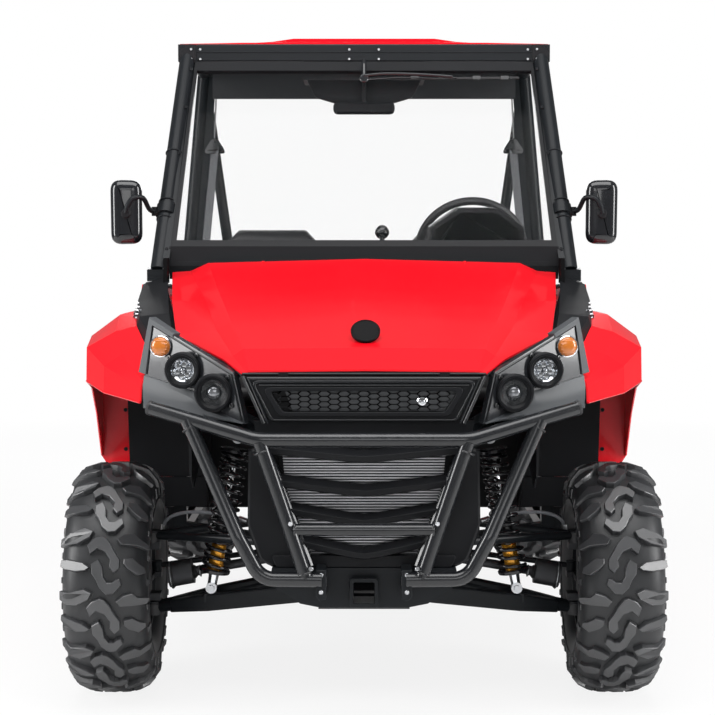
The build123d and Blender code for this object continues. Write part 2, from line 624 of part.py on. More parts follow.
def upper_grille():
    """Frame between the lamps with its honeycomb opening."""
    frame = front_prism([(-319, 927), (319, 927), (242, 811), (-242, 811)], -1385, -1330)
    opening = front_prism([(-243, 889), (243, 889), (208, 835), (-208, 835)], -1386, -1345)
    bumper = box(195, 220, -1376, -1364, 927, 936)
    return fuse(frame, *both(bumper)) - opening


def honeycomb():
    """Pierced plate in the upper grille."""
    return front_prism([(-246, 892), (246, 892), (211, 832), (-211, 832)], -1372, -1366)


RADIATOR_REAR_Y = NOSE_FRAME_Y - FRAME_TUBE - SEAT_GAP
GRILLE_TOP_Z = 745.0
GRILLE_LOW_Z = 430.3
GRILLE_TOP_HALF = 262.0
GRILLE_LOW_HALF = 146.0


def grille_half(z):
    """Half-width of the lower grille at a height."""
    share = (z - GRILLE_LOW_Z) / (GRILLE_TOP_Z - GRILLE_LOW_Z)
    return GRILLE_LOW_HALF + share * (GRILLE_TOP_HALF - GRILLE_LOW_HALF)


def grille_slats():
    """Four V-shaped slats between two side rails."""
    rails = []
    for side in (-1, 1):
        top, low = grille_half(GRILLE_TOP_Z), grille_half(GRILLE_LOW_Z)
        points = [(side * top, GRILLE_TOP_Z), (side * (top - 24), GRILLE_TOP_Z),
                  (side * (low - 24), GRILLE_LOW_Z), (side * low, GRILLE_LOW_Z)]
        rails.append(front_prism(points, -1400, -1366.3))
    slats = []
    for end_z, mid_z in ((745, 721), (659, 633), (587, 555), (503, 469)):
        half = grille_half(end_z) - 12
        points = [(-half, end_z), (-60, mid_z + 4), (60, mid_z + 4), (half, end_z),
                  (half - 6, end_z - 20), (60, mid_z - 16), (-60, mid_z - 16), (-half + 6, end_z - 20)]
        slats.append(front_prism(points, -1400, -1374))
    return fuse(*rails, *slats)


def radiator():
    """Cooler core with its tanks, behind the grille."""
    core = front_prism([(-215, 735), (215, 735), (190, 440), (-190, 440)], -1352, RADIATOR_REAR_Y)
    return core


def side_shields():
    """Plastic cheeks beside the grille."""
    return front_prism([(152, 430), (262, 735), (300, 735), (300, 520), (270, 450), (240, 430)],
                       -1366, -1352.3)


save("upper_grille", fuse(upper_grille(), honeycomb()))
save("grille_slats", grille_slats())
save("radiator", radiator())


def front_fascia():
    """Bumper cover below the lamps and behind the guard."""
    band = front_prism([(-286, 810.7), (286, 810.7), (272, 735.3), (-272, 735.3)], -1362, -1335)
    return band


save("front_fascia", front_fascia(), *both(side_shields()))


def brush_guard():
    """Tube guard with its upper bar, outer loops and inner legs."""
    upper = bent_tube([(-557, -1330, 840), (-269, -1455, 770), (269, -1455, 770), (557, -1330, 840)],
                      GUARD_TUBE, 90)
    pieces = [upper]
    for side in (-1, 1):
        outer = [(side * 453, -1380, 812), (side * 318, -1462, 520), (side * 262, -1470, 417),
                 (side * 107, -1470, 415)]
        pieces.append(bent_tube(outer, GUARD_TUBE, [60, 60]))
        inner = [(side * 264, -1455, 765), (side * 188, -1465, 542), (side * 147, -1470, 420)]
        pieces.append(bent_tube(inner, GUARD_TUBE, 200))
    pieces.append(rod((-188, -1465, 542), (188, -1465, 542), GUARD_TUBE - 3))
    for side in (-1, 1):
        pieces.append(box(side * 95, side * 135, -1470, NOSE_Y - 0.3, 398, 422))
    return fuse(*pieces)


save("brush_guard", brush_guard())

# Hood sections: y, crown height, crease (x, z), bevel (x, z), edge (x, z)
HOOD_SECTIONS = (
    (-640, 1221, (465, 1209), (518, 1185), (572, 1181)),
    (-900, 1130, (410, 1124), (450, 1101), (545, 1105)),
    (-1100, 1058, (362, 1054), (403, 1032), (512, 1020)),
    (-1280, 994, (318, 991), (344, 972), (370, 964)),
    (-1372, 944, (296, 941), (306, 938), (316, 936)),
)


def hood():
    """Faceted engine-bay lid."""
    sections = []
    for y, crown, crease, bevel, edge in HOOD_SECTIONS:
        right = [crease, bevel, edge]
        left = [(-x, z) for x, z in reversed(right)]
        sections.append((y, [*left, (0, crown), *right]))
    lid = skin(sections, HOOD_THICK)
    ear = box(HOOD_EAR_X - 4, HOOD_EAR_X + 4, HOOD_HINGE_Y - 26, HOOD_HINGE_Y + 8,
              HOOD_HINGE_Z - 9, HOOD_HINGE_Z + 5)
    web = box(HOOD_EAR_X - 4, HOOD_EAR_X + 4, HOOD_HINGE_Y - 26, HOOD_HINGE_Y - 8,
              HOOD_HINGE_Z, HOOD_HINGE_Z + 25)
    pin = rod((HOOD_EAR_X, HOOD_HINGE_Y, HOOD_HINGE_Z), (HOOD_EAR_X + 24, HOOD_HINGE_Y, HOOD_HINGE_Z),
              HOOD_PIN)
    return fuse(lid, *both(ear, web, pin))


save("hood", hood())


# Fender sections: y, inner (x, z), shoulder (x, z), outer lip (x, z), height of the lip's edge
FENDER_SECTIONS = (
    (-1195, (588, 905), (594, 900), (600, 880), 842),
    (-1060, (600, 985), (668, 962), (716, 930), 858),
    (-950, (640, 1036), (700, 1020), (781, 975), 880),
    (-800, (660, 1072), (706, 1062), (790, 1000), 850),
    (-660, (662, 1072), (706, 1062), (798, 985), 760),
    (-552, (662, 1060), (706, 1050), (800, 960), 620),
)


def fender():
    """Front wheel's flare with its panel behind the wheel."""
    thick = 5.0
    faces = []
    for y, inner, shoulder, lip, low in FENDER_SECTIONS:
        points = [inner, shoulder, lip, (lip[0] + 2, low), (lip[0] + 2 - thick, low),
                  (lip[0] - thick, lip[1] - thick), (shoulder[0] - 2, shoulder[1] - thick),
                  (inner[0], inner[1] - thick)]
        plane = Plane(origin=(0, y, 0), x_dir=(1, 0, 0), z_dir=(0, -1, 0))
        faces.append(plane * make_face(Polyline(*points, close=True)))
    flare = loft(faces, ruled=True)
    panel_rear = front_prism([(662, 1056), (706, 1046), (799, 957), (802, 620), (740, 520),
                              (690, 520), (700, 900), (662, 1010)], FENDER_REAR_Y - 5, FENDER_REAR_Y)
    return fuse(flare, panel_rear)


def arch_liner():
    """Dark inner panel of the front wheel's arch."""
    return side_prism([(-1180, 840), (-1060, 930), (-900, 990), (-640, 1000), (-584, 900),
                       (-584, 500), (-620, 500), (-700, 700), (-850, 760), (-1000, 700),
                       (-1140, 640)], 470, 475) - beam(
        (TOWER_X, FRONT_AXLE_Y + 5, TOWER_Z + 45), (SILL_X, CAB_FRONT_Y, 880), FRAME_TUBE + SEAT_GAP)


COWL_TRIM_TOPS = (  # y, hood's edge (x, z), outer edge (x, z)
    (-1060, (530, 1034), (590, 1016)),
    (-950, (548, 1072), (632, 1062)),
    (-800, (568, 1122), (655, 1102)),
    (-660, (582, 1172), (657, 1146)),
)


def cowl_trim():
    """Dark cover between the hood's edge and the fender, down to the fender."""
    faces = []
    fender_inner = {section[0]: section[1] for section in FENDER_SECTIONS}
    for y, inner, outer in COWL_TRIM_TOPS:
        foot = (fender_inner[y][0] - SEAT_GAP, fender_inner[y][1] - 5)
        points = [inner, outer, foot, (foot[0] - 5, foot[1]), (outer[0] - 5, outer[1] - 5),
                  (inner[0], inner[1] - 5)]
        plane = Plane(origin=(0, y, 0), x_dir=(1, 0, 0), z_dir=(0, -1, 0))
        faces.append(plane * make_face(Polyline(*points, close=True)))
    return loft(faces, ruled=True)


save("fenders", *both(fender()))
save("arch_liners", *both(arch_liner()))


# ---- cab ----------------------------------------------------------------
GLASS_LOW = (-572.0, 1267.0)
GLASS_HIGH = (-128.0, 1832.0)
FRAME_LAP = 22.0         # windshield frame's reach past the glass's daylight
FRAME_THICK = 14.0


def cab_tub():
    """Floor pan with toe board, seat riser, rear wall and sill faces."""
    seat = SEAT_TOP_Z - SEAT_THICK - SEAT_GAP
    outline = [(-545, 700), (-540, 700), (-480, FLOOR_Z), (40, FLOOR_Z), (60, seat), (520, seat),
               (530, 1150), (536, 1150), (526, seat - 6), (66, seat - 6), (46, FLOOR_Z - FLOOR_THICK),
               (-484, FLOOR_Z - FLOOR_THICK)]
    edge = box(510, SILL_X + 12, -440, 40, FLOOR_Z - FLOOR_THICK, FLOOR_Z)
    lip = box(SILL_X, SILL_X + 12, -440, 40, SILL_Z + FRAME_TUBE + SEAT_GAP, FLOOR_Z)
    return fuse(side_prism(outline, -520, 520), *both(edge, lip))


def rockers():
    """Sill cover below the door, hooked over the frame's outer rail."""
    inner = SILL_X + FRAME_TUBE + SEAT_GAP
    shell = side_prism([(-530, 350), (520, 350), (530, 460), (-540, 460)], inner, 682)
    pocket = side_prism([(-525, 355), (515, 355), (525, 455), (-535, 455)], inner - 1, 677)
    return shell - pocket


save("cab_tub", cab_tub())
save("rockers", *both(rockers()))


def dashboard():
    """Moulded dash with the instrument hood in front of the driver."""
    outline = [(-578.4, 1232), (-300, 1236), (-250, 1190), (-270, 960), (-330, 900), (-420, 900),
               (-440, 1120), (-567.6, 1160)]
    body = side_prism(outline, -540, 540)
    hood_shape = front_prism([(207, 1230), (207, 1316), (291, 1374), (409, 1374), (493, 1316),
                              (493, 1230)], -470, -300)
    centre = Vector(*STEERING_CENTRE)
    along = Vector(0, -cos(radians(COLUMN_TILT)), -sin(radians(COLUMN_TILT)))
    shroud = side_prism([(-252, 1192), (-120, 1186), (-104, 1110), (-150, 1062), (-268, 1040)],
                        centre.X - 52, centre.X + 52)
    bore = rod(centre, centre + along * 330.3, 24 + SEAT_GAP)
    return fuse(body, shroud, hood_shape) - bore


def glass_point(up, out):
    """(y, z) of a place on the windshield, measured along and out of its inner face."""
    run, rise = GLASS_HIGH[0] - GLASS_LOW[0], GLASS_HIGH[1] - GLASS_LOW[1]
    length = hypot(run, rise)
    return (GLASS_LOW[0] + (run * up - rise * out) / length,
            GLASS_LOW[1] + (rise * up + run * out) / length)


def cowl_panel():
    """Black strip between the hood and the windshield."""
    edge = -FRAME_LAP - SEAT_GAP
    strip = side_prism([(-602, 1200), glass_point(edge, FRAME_THICK), glass_point(edge, -6),
                       (-568, 1160), (-590, 1160)], -586, 586)
    ears = both(box(HOOD_EAR_X + 6, HOOD_EAR_X + 18, HOOD_HINGE_Y - 11, -594, HOOD_HINGE_Z - 10,
                    HOOD_HINGE_Z + 10))
    bores = Pos(0, HOOD_HINGE_Y, HOOD_HINGE_Z) * Rot(0, 90, 0) * Cylinder(HOOD_PIN + SEAT_GAP, 1000)
    return fuse(strip, *ears) - bores


save("dashboard", dashboard())
save("cowl_trims", cowl_panel(), *both(cowl_trim()))


def foot_flange(foot):
    """Square flange at the bottom of a cage post."""
    return box(foot[0] - FOOT_PAD, foot[0] + FOOT_PAD, foot[1] - FOOT_PAD, foot[1] + FOOT_PAD,
               foot[2] - FLANGE, foot[2] + 4)


def rops_front():
    """A-pillars with the roof's side rails and the header."""
    pieces = []
    head = (PILLAR_HEAD[0], PILLAR_HEAD[1], RAIL_TOP_Z)
    rear = (REAR_POST_HEAD[0], REAR_POST_HEAD[1] + 20, RAIL_TOP_Z)
    pieces += both(rod(PILLAR_FOOT, head, ROPS_TUBE), rod(head, rear, ROPS_TUBE),
                   foot_flange(PILLAR_FOOT),
                   box(head[0] - 30, head[0] + 30, head[1] - 28, head[1] + 28,
                       HEADER_Z - 28, HEADER_Z + HEADER_HALF))
    pieces.append(box(-head[0], head[0], head[1] - 22, head[1] + 22, HEADER_Z - HEADER_HALF,
                      HEADER_Z + HEADER_HALF))
    return fuse(*pieces)


REAR_TOP_Y = REAR_POST_HEAD[1] + 20 + ROPS_TUBE + SEAT_GAP


def rops_rear():
    """Rear hoop with its crossed braces."""
    head = (REAR_POST_HEAD[0], REAR_TOP_Y, RAIL_TOP_Z)
    pieces = both(rod(REAR_POST_FOOT, head, ROPS_TUBE), foot_flange(REAR_POST_FOOT),
                  beam((607.5, REAR_TOP_Y, 1212), (552, REAR_TOP_Y, 1868), 14),
                  rod((570, REAR_TOP_Y + 4, 1776), (493, REAR_TOP_Y + 10, 1210), 19))
    pieces.append(rod((-head[0], head[1], head[2]), head, ROPS_TUBE))
    pieces.append(rod((-640, REAR_TOP_Y + 8, 1212), (640, REAR_TOP_Y + 8, 1212), 19))
    return fuse(*pieces)


save("rops_front", rops_front())
save("rops_rear", rops_rear())


def windshield():
    """Laminated glass and its rubber frame, between the pillars."""
    rise = hypot(GLASS_HIGH[0] - GLASS_LOW[0], GLASS_HIGH[1] - GLASS_LOW[1])
    along = Vector(0, GLASS_HIGH[0] - GLASS_LOW[0], GLASS_HIGH[1] - GLASS_LOW[1]).normalized()
    plane = Plane(origin=(0, *GLASS_LOW), x_dir=(1, 0, 0), z_dir=Vector(1, 0, 0).cross(along))
    low, high = 581.0, 549.5
    outer = [(-low, -FRAME_LAP), (low, -FRAME_LAP), (high, rise + FRAME_LAP),
             (-high, rise + FRAME_LAP)]
    pane = [(-low + 12, 2), (low - 12, 2), (high - 6, rise - 18), (-high + 6, rise - 18)]
    frame = extrude(plane * make_face(Polyline(*outer, close=True)), FRAME_THICK)
    hole = Pos(0, 0, -1) * make_face(Polyline(*[(x * 0.997, y) for x, y in pane], close=True))
    frame = frame - extrude(plane * hole, 20)
    glass = extrude(plane * Pos(0, 0, -6.3) * make_face(Polyline(*outer, close=True)), 6)
    return frame, glass


frame_piece, glass_piece = windshield()
save("windshield_frame", frame_piece)
save("windshield_glass", glass_piece)


def roof():
    """Roof skin with its raised centre, and the dark liner below it."""
    base = HEADER_Z + HEADER_HALF + SEAT_GAP
    faces = []
    for y, lip, rise in ((-120, 2, 0), (-60, 6, 10), (150, 10, 28), (420, 10, 34), (575, 10, 8)):
        edge = base + lip
        points = [(-600, base), (-600, edge), (-400, edge + 4), (-240, edge + 4 + rise),
                  (240, edge + 4 + rise), (400, edge + 4), (600, edge), (600, base)]
        plane = Plane(origin=(0, y, 0), x_dir=(1, 0, 0), z_dir=(0, -1, 0))
        faces.append(plane * make_face(Polyline(*points, close=True)))
    top = loft(faces, ruled=True)
    liner = box(-545, 545, -77, 500, base - 24, base - SEAT_GAP)
    console = box(-200, 200, -77, 120, base - 110, base - 24)
    valance = box(-545, 545, 468, 500, VALANCE_Z, base - 24)
    return top, fuse(liner, console, valance)


roof_skin, roof_liner = roof()
save("roof_panel", roof_skin)
save("roof_liner", roof_liner)


def interior_mirror():
    """Wide mirror hung from the overhead console."""
    stem = rod((0, -77.3 - 8, 1840), (0, -84, 1725), 8)
    head = box(-101, 101, -98, -74, 1690, 1732)
    return fuse(stem, head)


def pillar_point(z):
    """Middle of the A-pillar at a height."""
    share = (z - PILLAR_FOOT[2]) / (RAIL_TOP_Z - PILLAR_FOOT[2])
    return (PILLAR_FOOT[0] + share * (PILLAR_HEAD[0] - PILLAR_FOOT[0]),
            PILLAR_FOOT[1] + share * (PILLAR_HEAD[1] - PILLAR_FOOT[1]), z)


def side_mirror():
    """Mirror head on its bent arm, clamped round the A-pillar."""
    low, high = pillar_point(1352), pillar_point(1378)
    clamp = rod(low, high, ROPS_TUBE + 5) - rod(pillar_point(1300), pillar_point(1430),
                                                ROPS_TUBE + SEAT_GAP)
    x, y, z = pillar_point(1365)
    arm = bent_tube([(x + 31, y, z), (x + 60, y - 8, z + 30), (700, y - 22, z + 34),
                     (724, y - 30, z - 10)], 8, 14)
    head = box(676, 770, y - 62, y - 24, 1264, 1460)
    return fuse(head, arm, clamp)


def wiper():
    """Wiper motor boss, arm and blade parked along the glass top."""
    boss = rod((0, -146, 1853), (0, -186, 1800), 13)
    arm = rod((0, -182, 1812), (280, -178, 1800), 6)
    blade = rod((100, -184, 1796), (500, -180, 1800), 7)
    return fuse(boss, arm, blade)


save("interior_mirror", interior_mirror())
save("side_mirrors", *both(side_mirror()))
save("wiper", wiper())


def seat_cushion():
    """One seat's base cushion."""
    half = SEAT_WIDTH / 2
    block = box(SEAT_X - half, SEAT_X + half, -20, 470, SEAT_TOP_Z - SEAT_THICK, SEAT_TOP_Z)
    return fillet(block.edges().filter_by(Axis.Z), 60)


def seat_back():
    """One seat's back, leaning rearwards."""
    half = SEAT_WIDTH / 2 - 10
    outline = [(-half, -260), (half, -260), (half, 110), (160, 215), (118, 260), (-118, 260),
               (-160, 215), (-half, 110)]
    block = front_prism(outline, -BACK_THICK / 2, BACK_THICK / 2)
    return Pos(SEAT_X, 440, SEAT_TOP_Z + 264.1) * Rot(-6, 0, 0) * block


save("seat_cushions", *both(seat_cushion()))
save("seat_backs", *both(seat_back()))


def steering_wheel():
    """Rim, spokes and hub, square to the column."""
    place = Pos(*STEERING_CENTRE) * Rot(COLUMN_TILT - 90, 0, 0)
    section = Plane.XZ * Pos(STEERING_RADIUS, 0) * RegularPolygon(STEERING_RIM, 10)
    rim_ring = revolve(section, axis=Axis.Z)
    hub = Pos(0, 0, -14) * Cylinder(42, 40)
    pieces = [rim_ring, hub]
    for angle in (0, 90, 180):
        spoke = Pos(STEERING_RADIUS / 2 + 18, 0, -6) * Box(STEERING_RADIUS - 24, 34, 10)
        pieces.append(Rot(0, 0, angle) * spoke)
    return place * fuse(*pieces)


def steering_column():
    """Column tube from the steering wheel down through the dash."""
    centre = Vector(*STEERING_CENTRE)
    along = Vector(0, -cos(radians(COLUMN_TILT)), -sin(radians(COLUMN_TILT)))
    return rod(centre + along * (34 + SEAT_GAP), centre + along * 330, 24)


def pedals():
    """Brake and throttle, hung from the frame's front cross tube."""
    beam_rear = CAB_FRONT_Y + FRAME_TUBE - 1.5 + SEAT_GAP
    pieces = []
    for x in (300, 410):
        pad = Pos(x, -430, 560) * Rot(30, 0, 0) * Box(70, 10, 90)
        arm = side_prism([(beam_rear, 865), (beam_rear, 893), (beam_rear + 14, 893),
                          (-425, 570), (-436, 560)], x - 5, x + 5)
        pieces.append(fuse(pad, arm))
    return pieces


def shift_lever():
    """Gear lever with its round knob."""
    boot = side_prism([(-260.2, 1070), (-256.1, 1118), (-232, 1112), (-232, 1078)], 40, 80)
    return fuse(boot, rod((60, -240, 1095), (60, -60, 1290), 8), Pos(60, -50, 1305) * Sphere(23))


save("steering_wheel", steering_wheel())
save("driver_controls", steering_column(), shift_lever(), *pedals())


def door():
    """Half door, as thick as the cab's side, with its hinge ears."""
    x0, x1 = DOOR_X - DOOR_THICK / 2, DOOR_X + DOOR_THICK / 2
    outline = [(DOOR_FRONT_Y, 560), (DOOR_FRONT_Y, 1080), (DOOR_FRONT_Y + 60, DOOR_TOP_Z),
               (DOOR_REAR_Y - 200, 1100), (DOOR_REAR_Y, 960), (DOOR_REAR_Y, DOOR_LOW_Z + 40),
               (DOOR_REAR_Y - 40, DOOR_LOW_Z), (DOOR_FRONT_Y + 90, DOOR_LOW_Z)]
    body = side_prism(outline, x0, x1)
    pieces = [body]
    for z in DOOR_HINGE_HEIGHTS:
        pieces.append(Pos(DOOR_HINGE_X, DOOR_HINGE_Y, z) * Cylinder(9, DOOR_BARREL))
        pieces.append(box(x1 - 12, DOOR_HINGE_X, DOOR_HINGE_Y + 3, DOOR_FRONT_Y + 12,
                          z - DOOR_BARREL / 2, z + DOOR_BARREL / 2))
    whole = fuse(*pieces)
    for z in DOOR_HINGE_HEIGHTS:
        whole = whole - Pos(DOOR_HINGE_X, DOOR_HINGE_Y, z) * Cylinder(DOOR_PIN + SEAT_GAP, DOOR_BARREL)
    return whole


save("door_left", door())
save("door_right", mirrored(door()))


# ---- cargo bed ----------------------------------------------------------
def cargo_bed():
    """Open box with a floor, side walls and a front wall."""
    outer = box(-BED_HALF, BED_HALF, BED_FRONT_Y, BED_REAR_Y, BED_FLOOR_Z - 20, BED_SIDE_Z)
    inner = box(-BED_HALF + BED_WALL, BED_HALF - BED_WALL, BED_FRONT_Y + BED_WALL, BED_REAR_Y + 1,
                BED_FLOOR_Z, BED_SIDE_Z + 1)
    pieces = [outer - inner]
    floor_low = BED_FLOOR_Z - 20
    for x in (BED_RAIL_X - 28, BED_RAIL_X - 4):
        ear = box(x, x + 8, BED_HINGE_Y - 13, BED_HINGE_Y + 13, BED_HINGE_Z - 10, floor_low)
        pieces += both(ear)
    pin = rod((BED_RAIL_X - 28, BED_HINGE_Y, BED_HINGE_Z), (BED_RAIL_X + 4, BED_HINGE_Y, BED_HINGE_Z),
              BED_PIN)
    rest = box(BED_RAIL_X - 15, BED_RAIL_X + 15, 690, 730, BED_RAIL_Z + FRAME_TUBE + SEAT_GAP, floor_low)
    gate_ear = box(TAILGATE_EAR_X - 3, TAILGATE_EAR_X + 3, BED_REAR_Y - 10, TAILGATE_HINGE_Y + 8,
                   floor_low, TAILGATE_HINGE_Z + 8)
    gate_pin = rod((TAILGATE_EAR_X, TAILGATE_HINGE_Y, TAILGATE_HINGE_Z),
                   (TAILGATE_EAR_X - 24, TAILGATE_HINGE_Y, TAILGATE_HINGE_Z), TAILGATE_PIN)
    return fuse(*pieces, *both(pin, rest, gate_ear, gate_pin))


def tailgate():
    """Flap across the bed's rear, with its hinge barrels."""
    gate = box(-BED_HALF, BED_HALF, BED_REAR_Y + RUN_GAP, BED_REAR_Y + RUN_GAP + BED_WALL,
               BED_FLOOR_Z - 10, BED_SIDE_Z)
    notch = box(TAILGATE_EAR_X - 30, TAILGATE_EAR_X + 8, BED_REAR_Y, BED_REAR_Y + 60,
                BED_FLOOR_Z - 20, TAILGATE_HINGE_Z + 27)
    barrel = rod((TAILGATE_EAR_X - 60, TAILGATE_HINGE_Y, TAILGATE_HINGE_Z),
                 (TAILGATE_EAR_X - 3 - SEAT_GAP, TAILGATE_HINGE_Y, TAILGATE_HINGE_Z), 8)
    bore = rod((TAILGATE_EAR_X - 25, TAILGATE_HINGE_Y, TAILGATE_HINGE_Z),
               (TAILGATE_EAR_X, TAILGATE_HINGE_Y, TAILGATE_HINGE_Z), TAILGATE_PIN + SEAT_GAP)
    web = box(TAILGATE_EAR_X - 60, TAILGATE_EAR_X - 26, TAILGATE_HINGE_Y - 5, TAILGATE_HINGE_Y + 8,
              TAILGATE_HINGE_Z, TAILGATE_HINGE_Z + 30)
    whole = fuse(gate, *both(web, barrel))
    for cut in both(notch - barrel - web, bore):
        whole = whole - cut
    return whole


save("cargo_bed", cargo_bed())
save("tailgate", tailgate())


def rear_fender():
    """Flare over the rear wheel, clear of the bed."""
    top = REAR_FENDER_Z
    outer = [(690, 520), (720, 640), (800, top), (1300, top), (1400, 620), (1425, 500)]
    inner = [(696, 520), (726, 636), (803, top - 6), (1297, top - 6), (1395, 616), (1419, 500)]
    return side_prism([*outer, *reversed(inner)], 660, 800)


def tail_lamp():
    """Upright lamp on the rear fender."""
    return side_prism([(1425.2, 502), (1410, 575), (1434, 578), (1444, 508)], 675, 735)


save("rear_fenders", *both(rear_fender()))
save("tail_lamps", *both(tail_lamp()))
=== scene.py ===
"""Dresses a packed side by side utility vehicle: tyres, lamps, grille, suspension, cab and bed."""

import json
from math import cos, hypot, pi, radians, sin

import bmesh
import bpy
from bpy.props import FloatProperty, FloatVectorProperty, IntProperty, PointerProperty
from mathutils import Matrix, Vector

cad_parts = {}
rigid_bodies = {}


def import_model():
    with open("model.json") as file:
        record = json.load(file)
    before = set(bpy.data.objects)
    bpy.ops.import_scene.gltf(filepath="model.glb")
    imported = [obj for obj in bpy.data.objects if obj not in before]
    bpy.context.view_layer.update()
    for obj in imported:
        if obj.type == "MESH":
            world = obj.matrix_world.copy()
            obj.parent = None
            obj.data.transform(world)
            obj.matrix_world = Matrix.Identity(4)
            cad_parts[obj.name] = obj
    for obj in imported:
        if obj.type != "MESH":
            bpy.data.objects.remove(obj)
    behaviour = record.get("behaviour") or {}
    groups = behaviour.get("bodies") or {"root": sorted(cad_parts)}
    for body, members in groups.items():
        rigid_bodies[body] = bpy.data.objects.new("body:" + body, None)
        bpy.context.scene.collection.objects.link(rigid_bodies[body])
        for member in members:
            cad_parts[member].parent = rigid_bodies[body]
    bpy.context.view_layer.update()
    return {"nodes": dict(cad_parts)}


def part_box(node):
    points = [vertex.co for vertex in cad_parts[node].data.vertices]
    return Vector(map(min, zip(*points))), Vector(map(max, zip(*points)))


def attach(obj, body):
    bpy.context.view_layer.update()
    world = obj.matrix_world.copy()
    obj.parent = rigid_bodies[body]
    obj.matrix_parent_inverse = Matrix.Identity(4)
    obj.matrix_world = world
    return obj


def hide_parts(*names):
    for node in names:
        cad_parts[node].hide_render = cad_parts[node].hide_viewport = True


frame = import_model()

bl_info = {
    "name": "Side by Side Vehicle Dressing",
    "version": (1, 0, 0),
    "blender": (4, 5, 0),
    "location": "View3D > Sidebar > Vehicle",
    "description": "Builds the visible pieces and finishes of a two-seat utility vehicle",
    "category": "Object",
}

MM = 0.001
ROOT = "chassis"
WELD = 0.00002  # points nearer than this are one, in metres
FRONT_AXLE_Y, REAR_AXLE_Y, AXLE_Z = -950, 1050, 325
FINISH = {}


# ---- finishes -----------------------------------------------------------
MIX_FROM, MIX_TO, MIX_RESULT = 6, 7, 2  # colour sockets of a Mix node


def finish(name, base, rough, metal=0.0, coat=0.0, vary=0.10, patch=3.0, grain=700.0, bump=0.05,
           alpha=1.0, sheen=0.0, weave=0.0, shine=0.5):
    """Procedural finish: colour drifts in soft patches, fine grain lifts the surface."""
    mat = bpy.data.materials.new(name)
    mat.use_nodes = True
    nodes, links = mat.node_tree.nodes, mat.node_tree.links
    shader = nodes["Principled BSDF"]
    coords = nodes.new("ShaderNodeTexCoord")
    drift = nodes.new("ShaderNodeTexNoise")
    drift.inputs["Scale"].default_value = patch
    drift.inputs["Detail"].default_value = 6.0
    links.new(coords.outputs["Object"], drift.inputs["Vector"])
    blend = nodes.new("ShaderNodeMix")
    blend.data_type = "RGBA"
    blend.inputs[MIX_FROM].default_value = (*[max(0.0, c * (1 - vary)) for c in base], 1)
    blend.inputs[MIX_TO].default_value = (*[min(1.0, c * (1 + vary) + vary * 0.01) for c in base], 1)
    links.new(drift.outputs["Fac"], blend.inputs[0])
    links.new(blend.outputs[MIX_RESULT], shader.inputs["Base Color"])
    spread = nodes.new("ShaderNodeMapRange")
    spread.inputs["To Min"].default_value = max(0.02, rough * 0.85)
    spread.inputs["To Max"].default_value = min(1.0, rough * 1.18)
    links.new(drift.outputs["Fac"], spread.inputs["Value"])
    links.new(spread.outputs["Result"], shader.inputs["Roughness"])
    if weave:
        texture = nodes.new("ShaderNodeTexWave")
        texture.inputs["Scale"].default_value = weave
        texture.inputs["Distortion"].default_value = 0.4
    else:
        texture = nodes.new("ShaderNodeTexNoise")
        texture.inputs["Scale"].default_value = grain
        texture.inputs["Detail"].default_value = 3.0
    links.new(coords.outputs["Object"], texture.inputs["Vector"])
    relief = nodes.new("ShaderNodeBump")
    relief.inputs["Strength"].default_value = bump
    relief.inputs["Distance"].default_value = 0.001
    links.new(texture.outputs["Fac"], relief.inputs["Height"])
    links.new(relief.outputs["Normal"], shader.inputs["Normal"])
    shader.inputs["Metallic"].default_value = metal
    shader.inputs["Coat Weight"].default_value = coat
    shader.inputs["Coat Roughness"].default_value = 0.06
    shader.inputs["Specular IOR Level"].default_value = shine
    shader.inputs["Sheen Weight"].default_value = sheen
    shader.inputs["Alpha"].default_value = alpha
    FINISH[name] = mat
    return mat


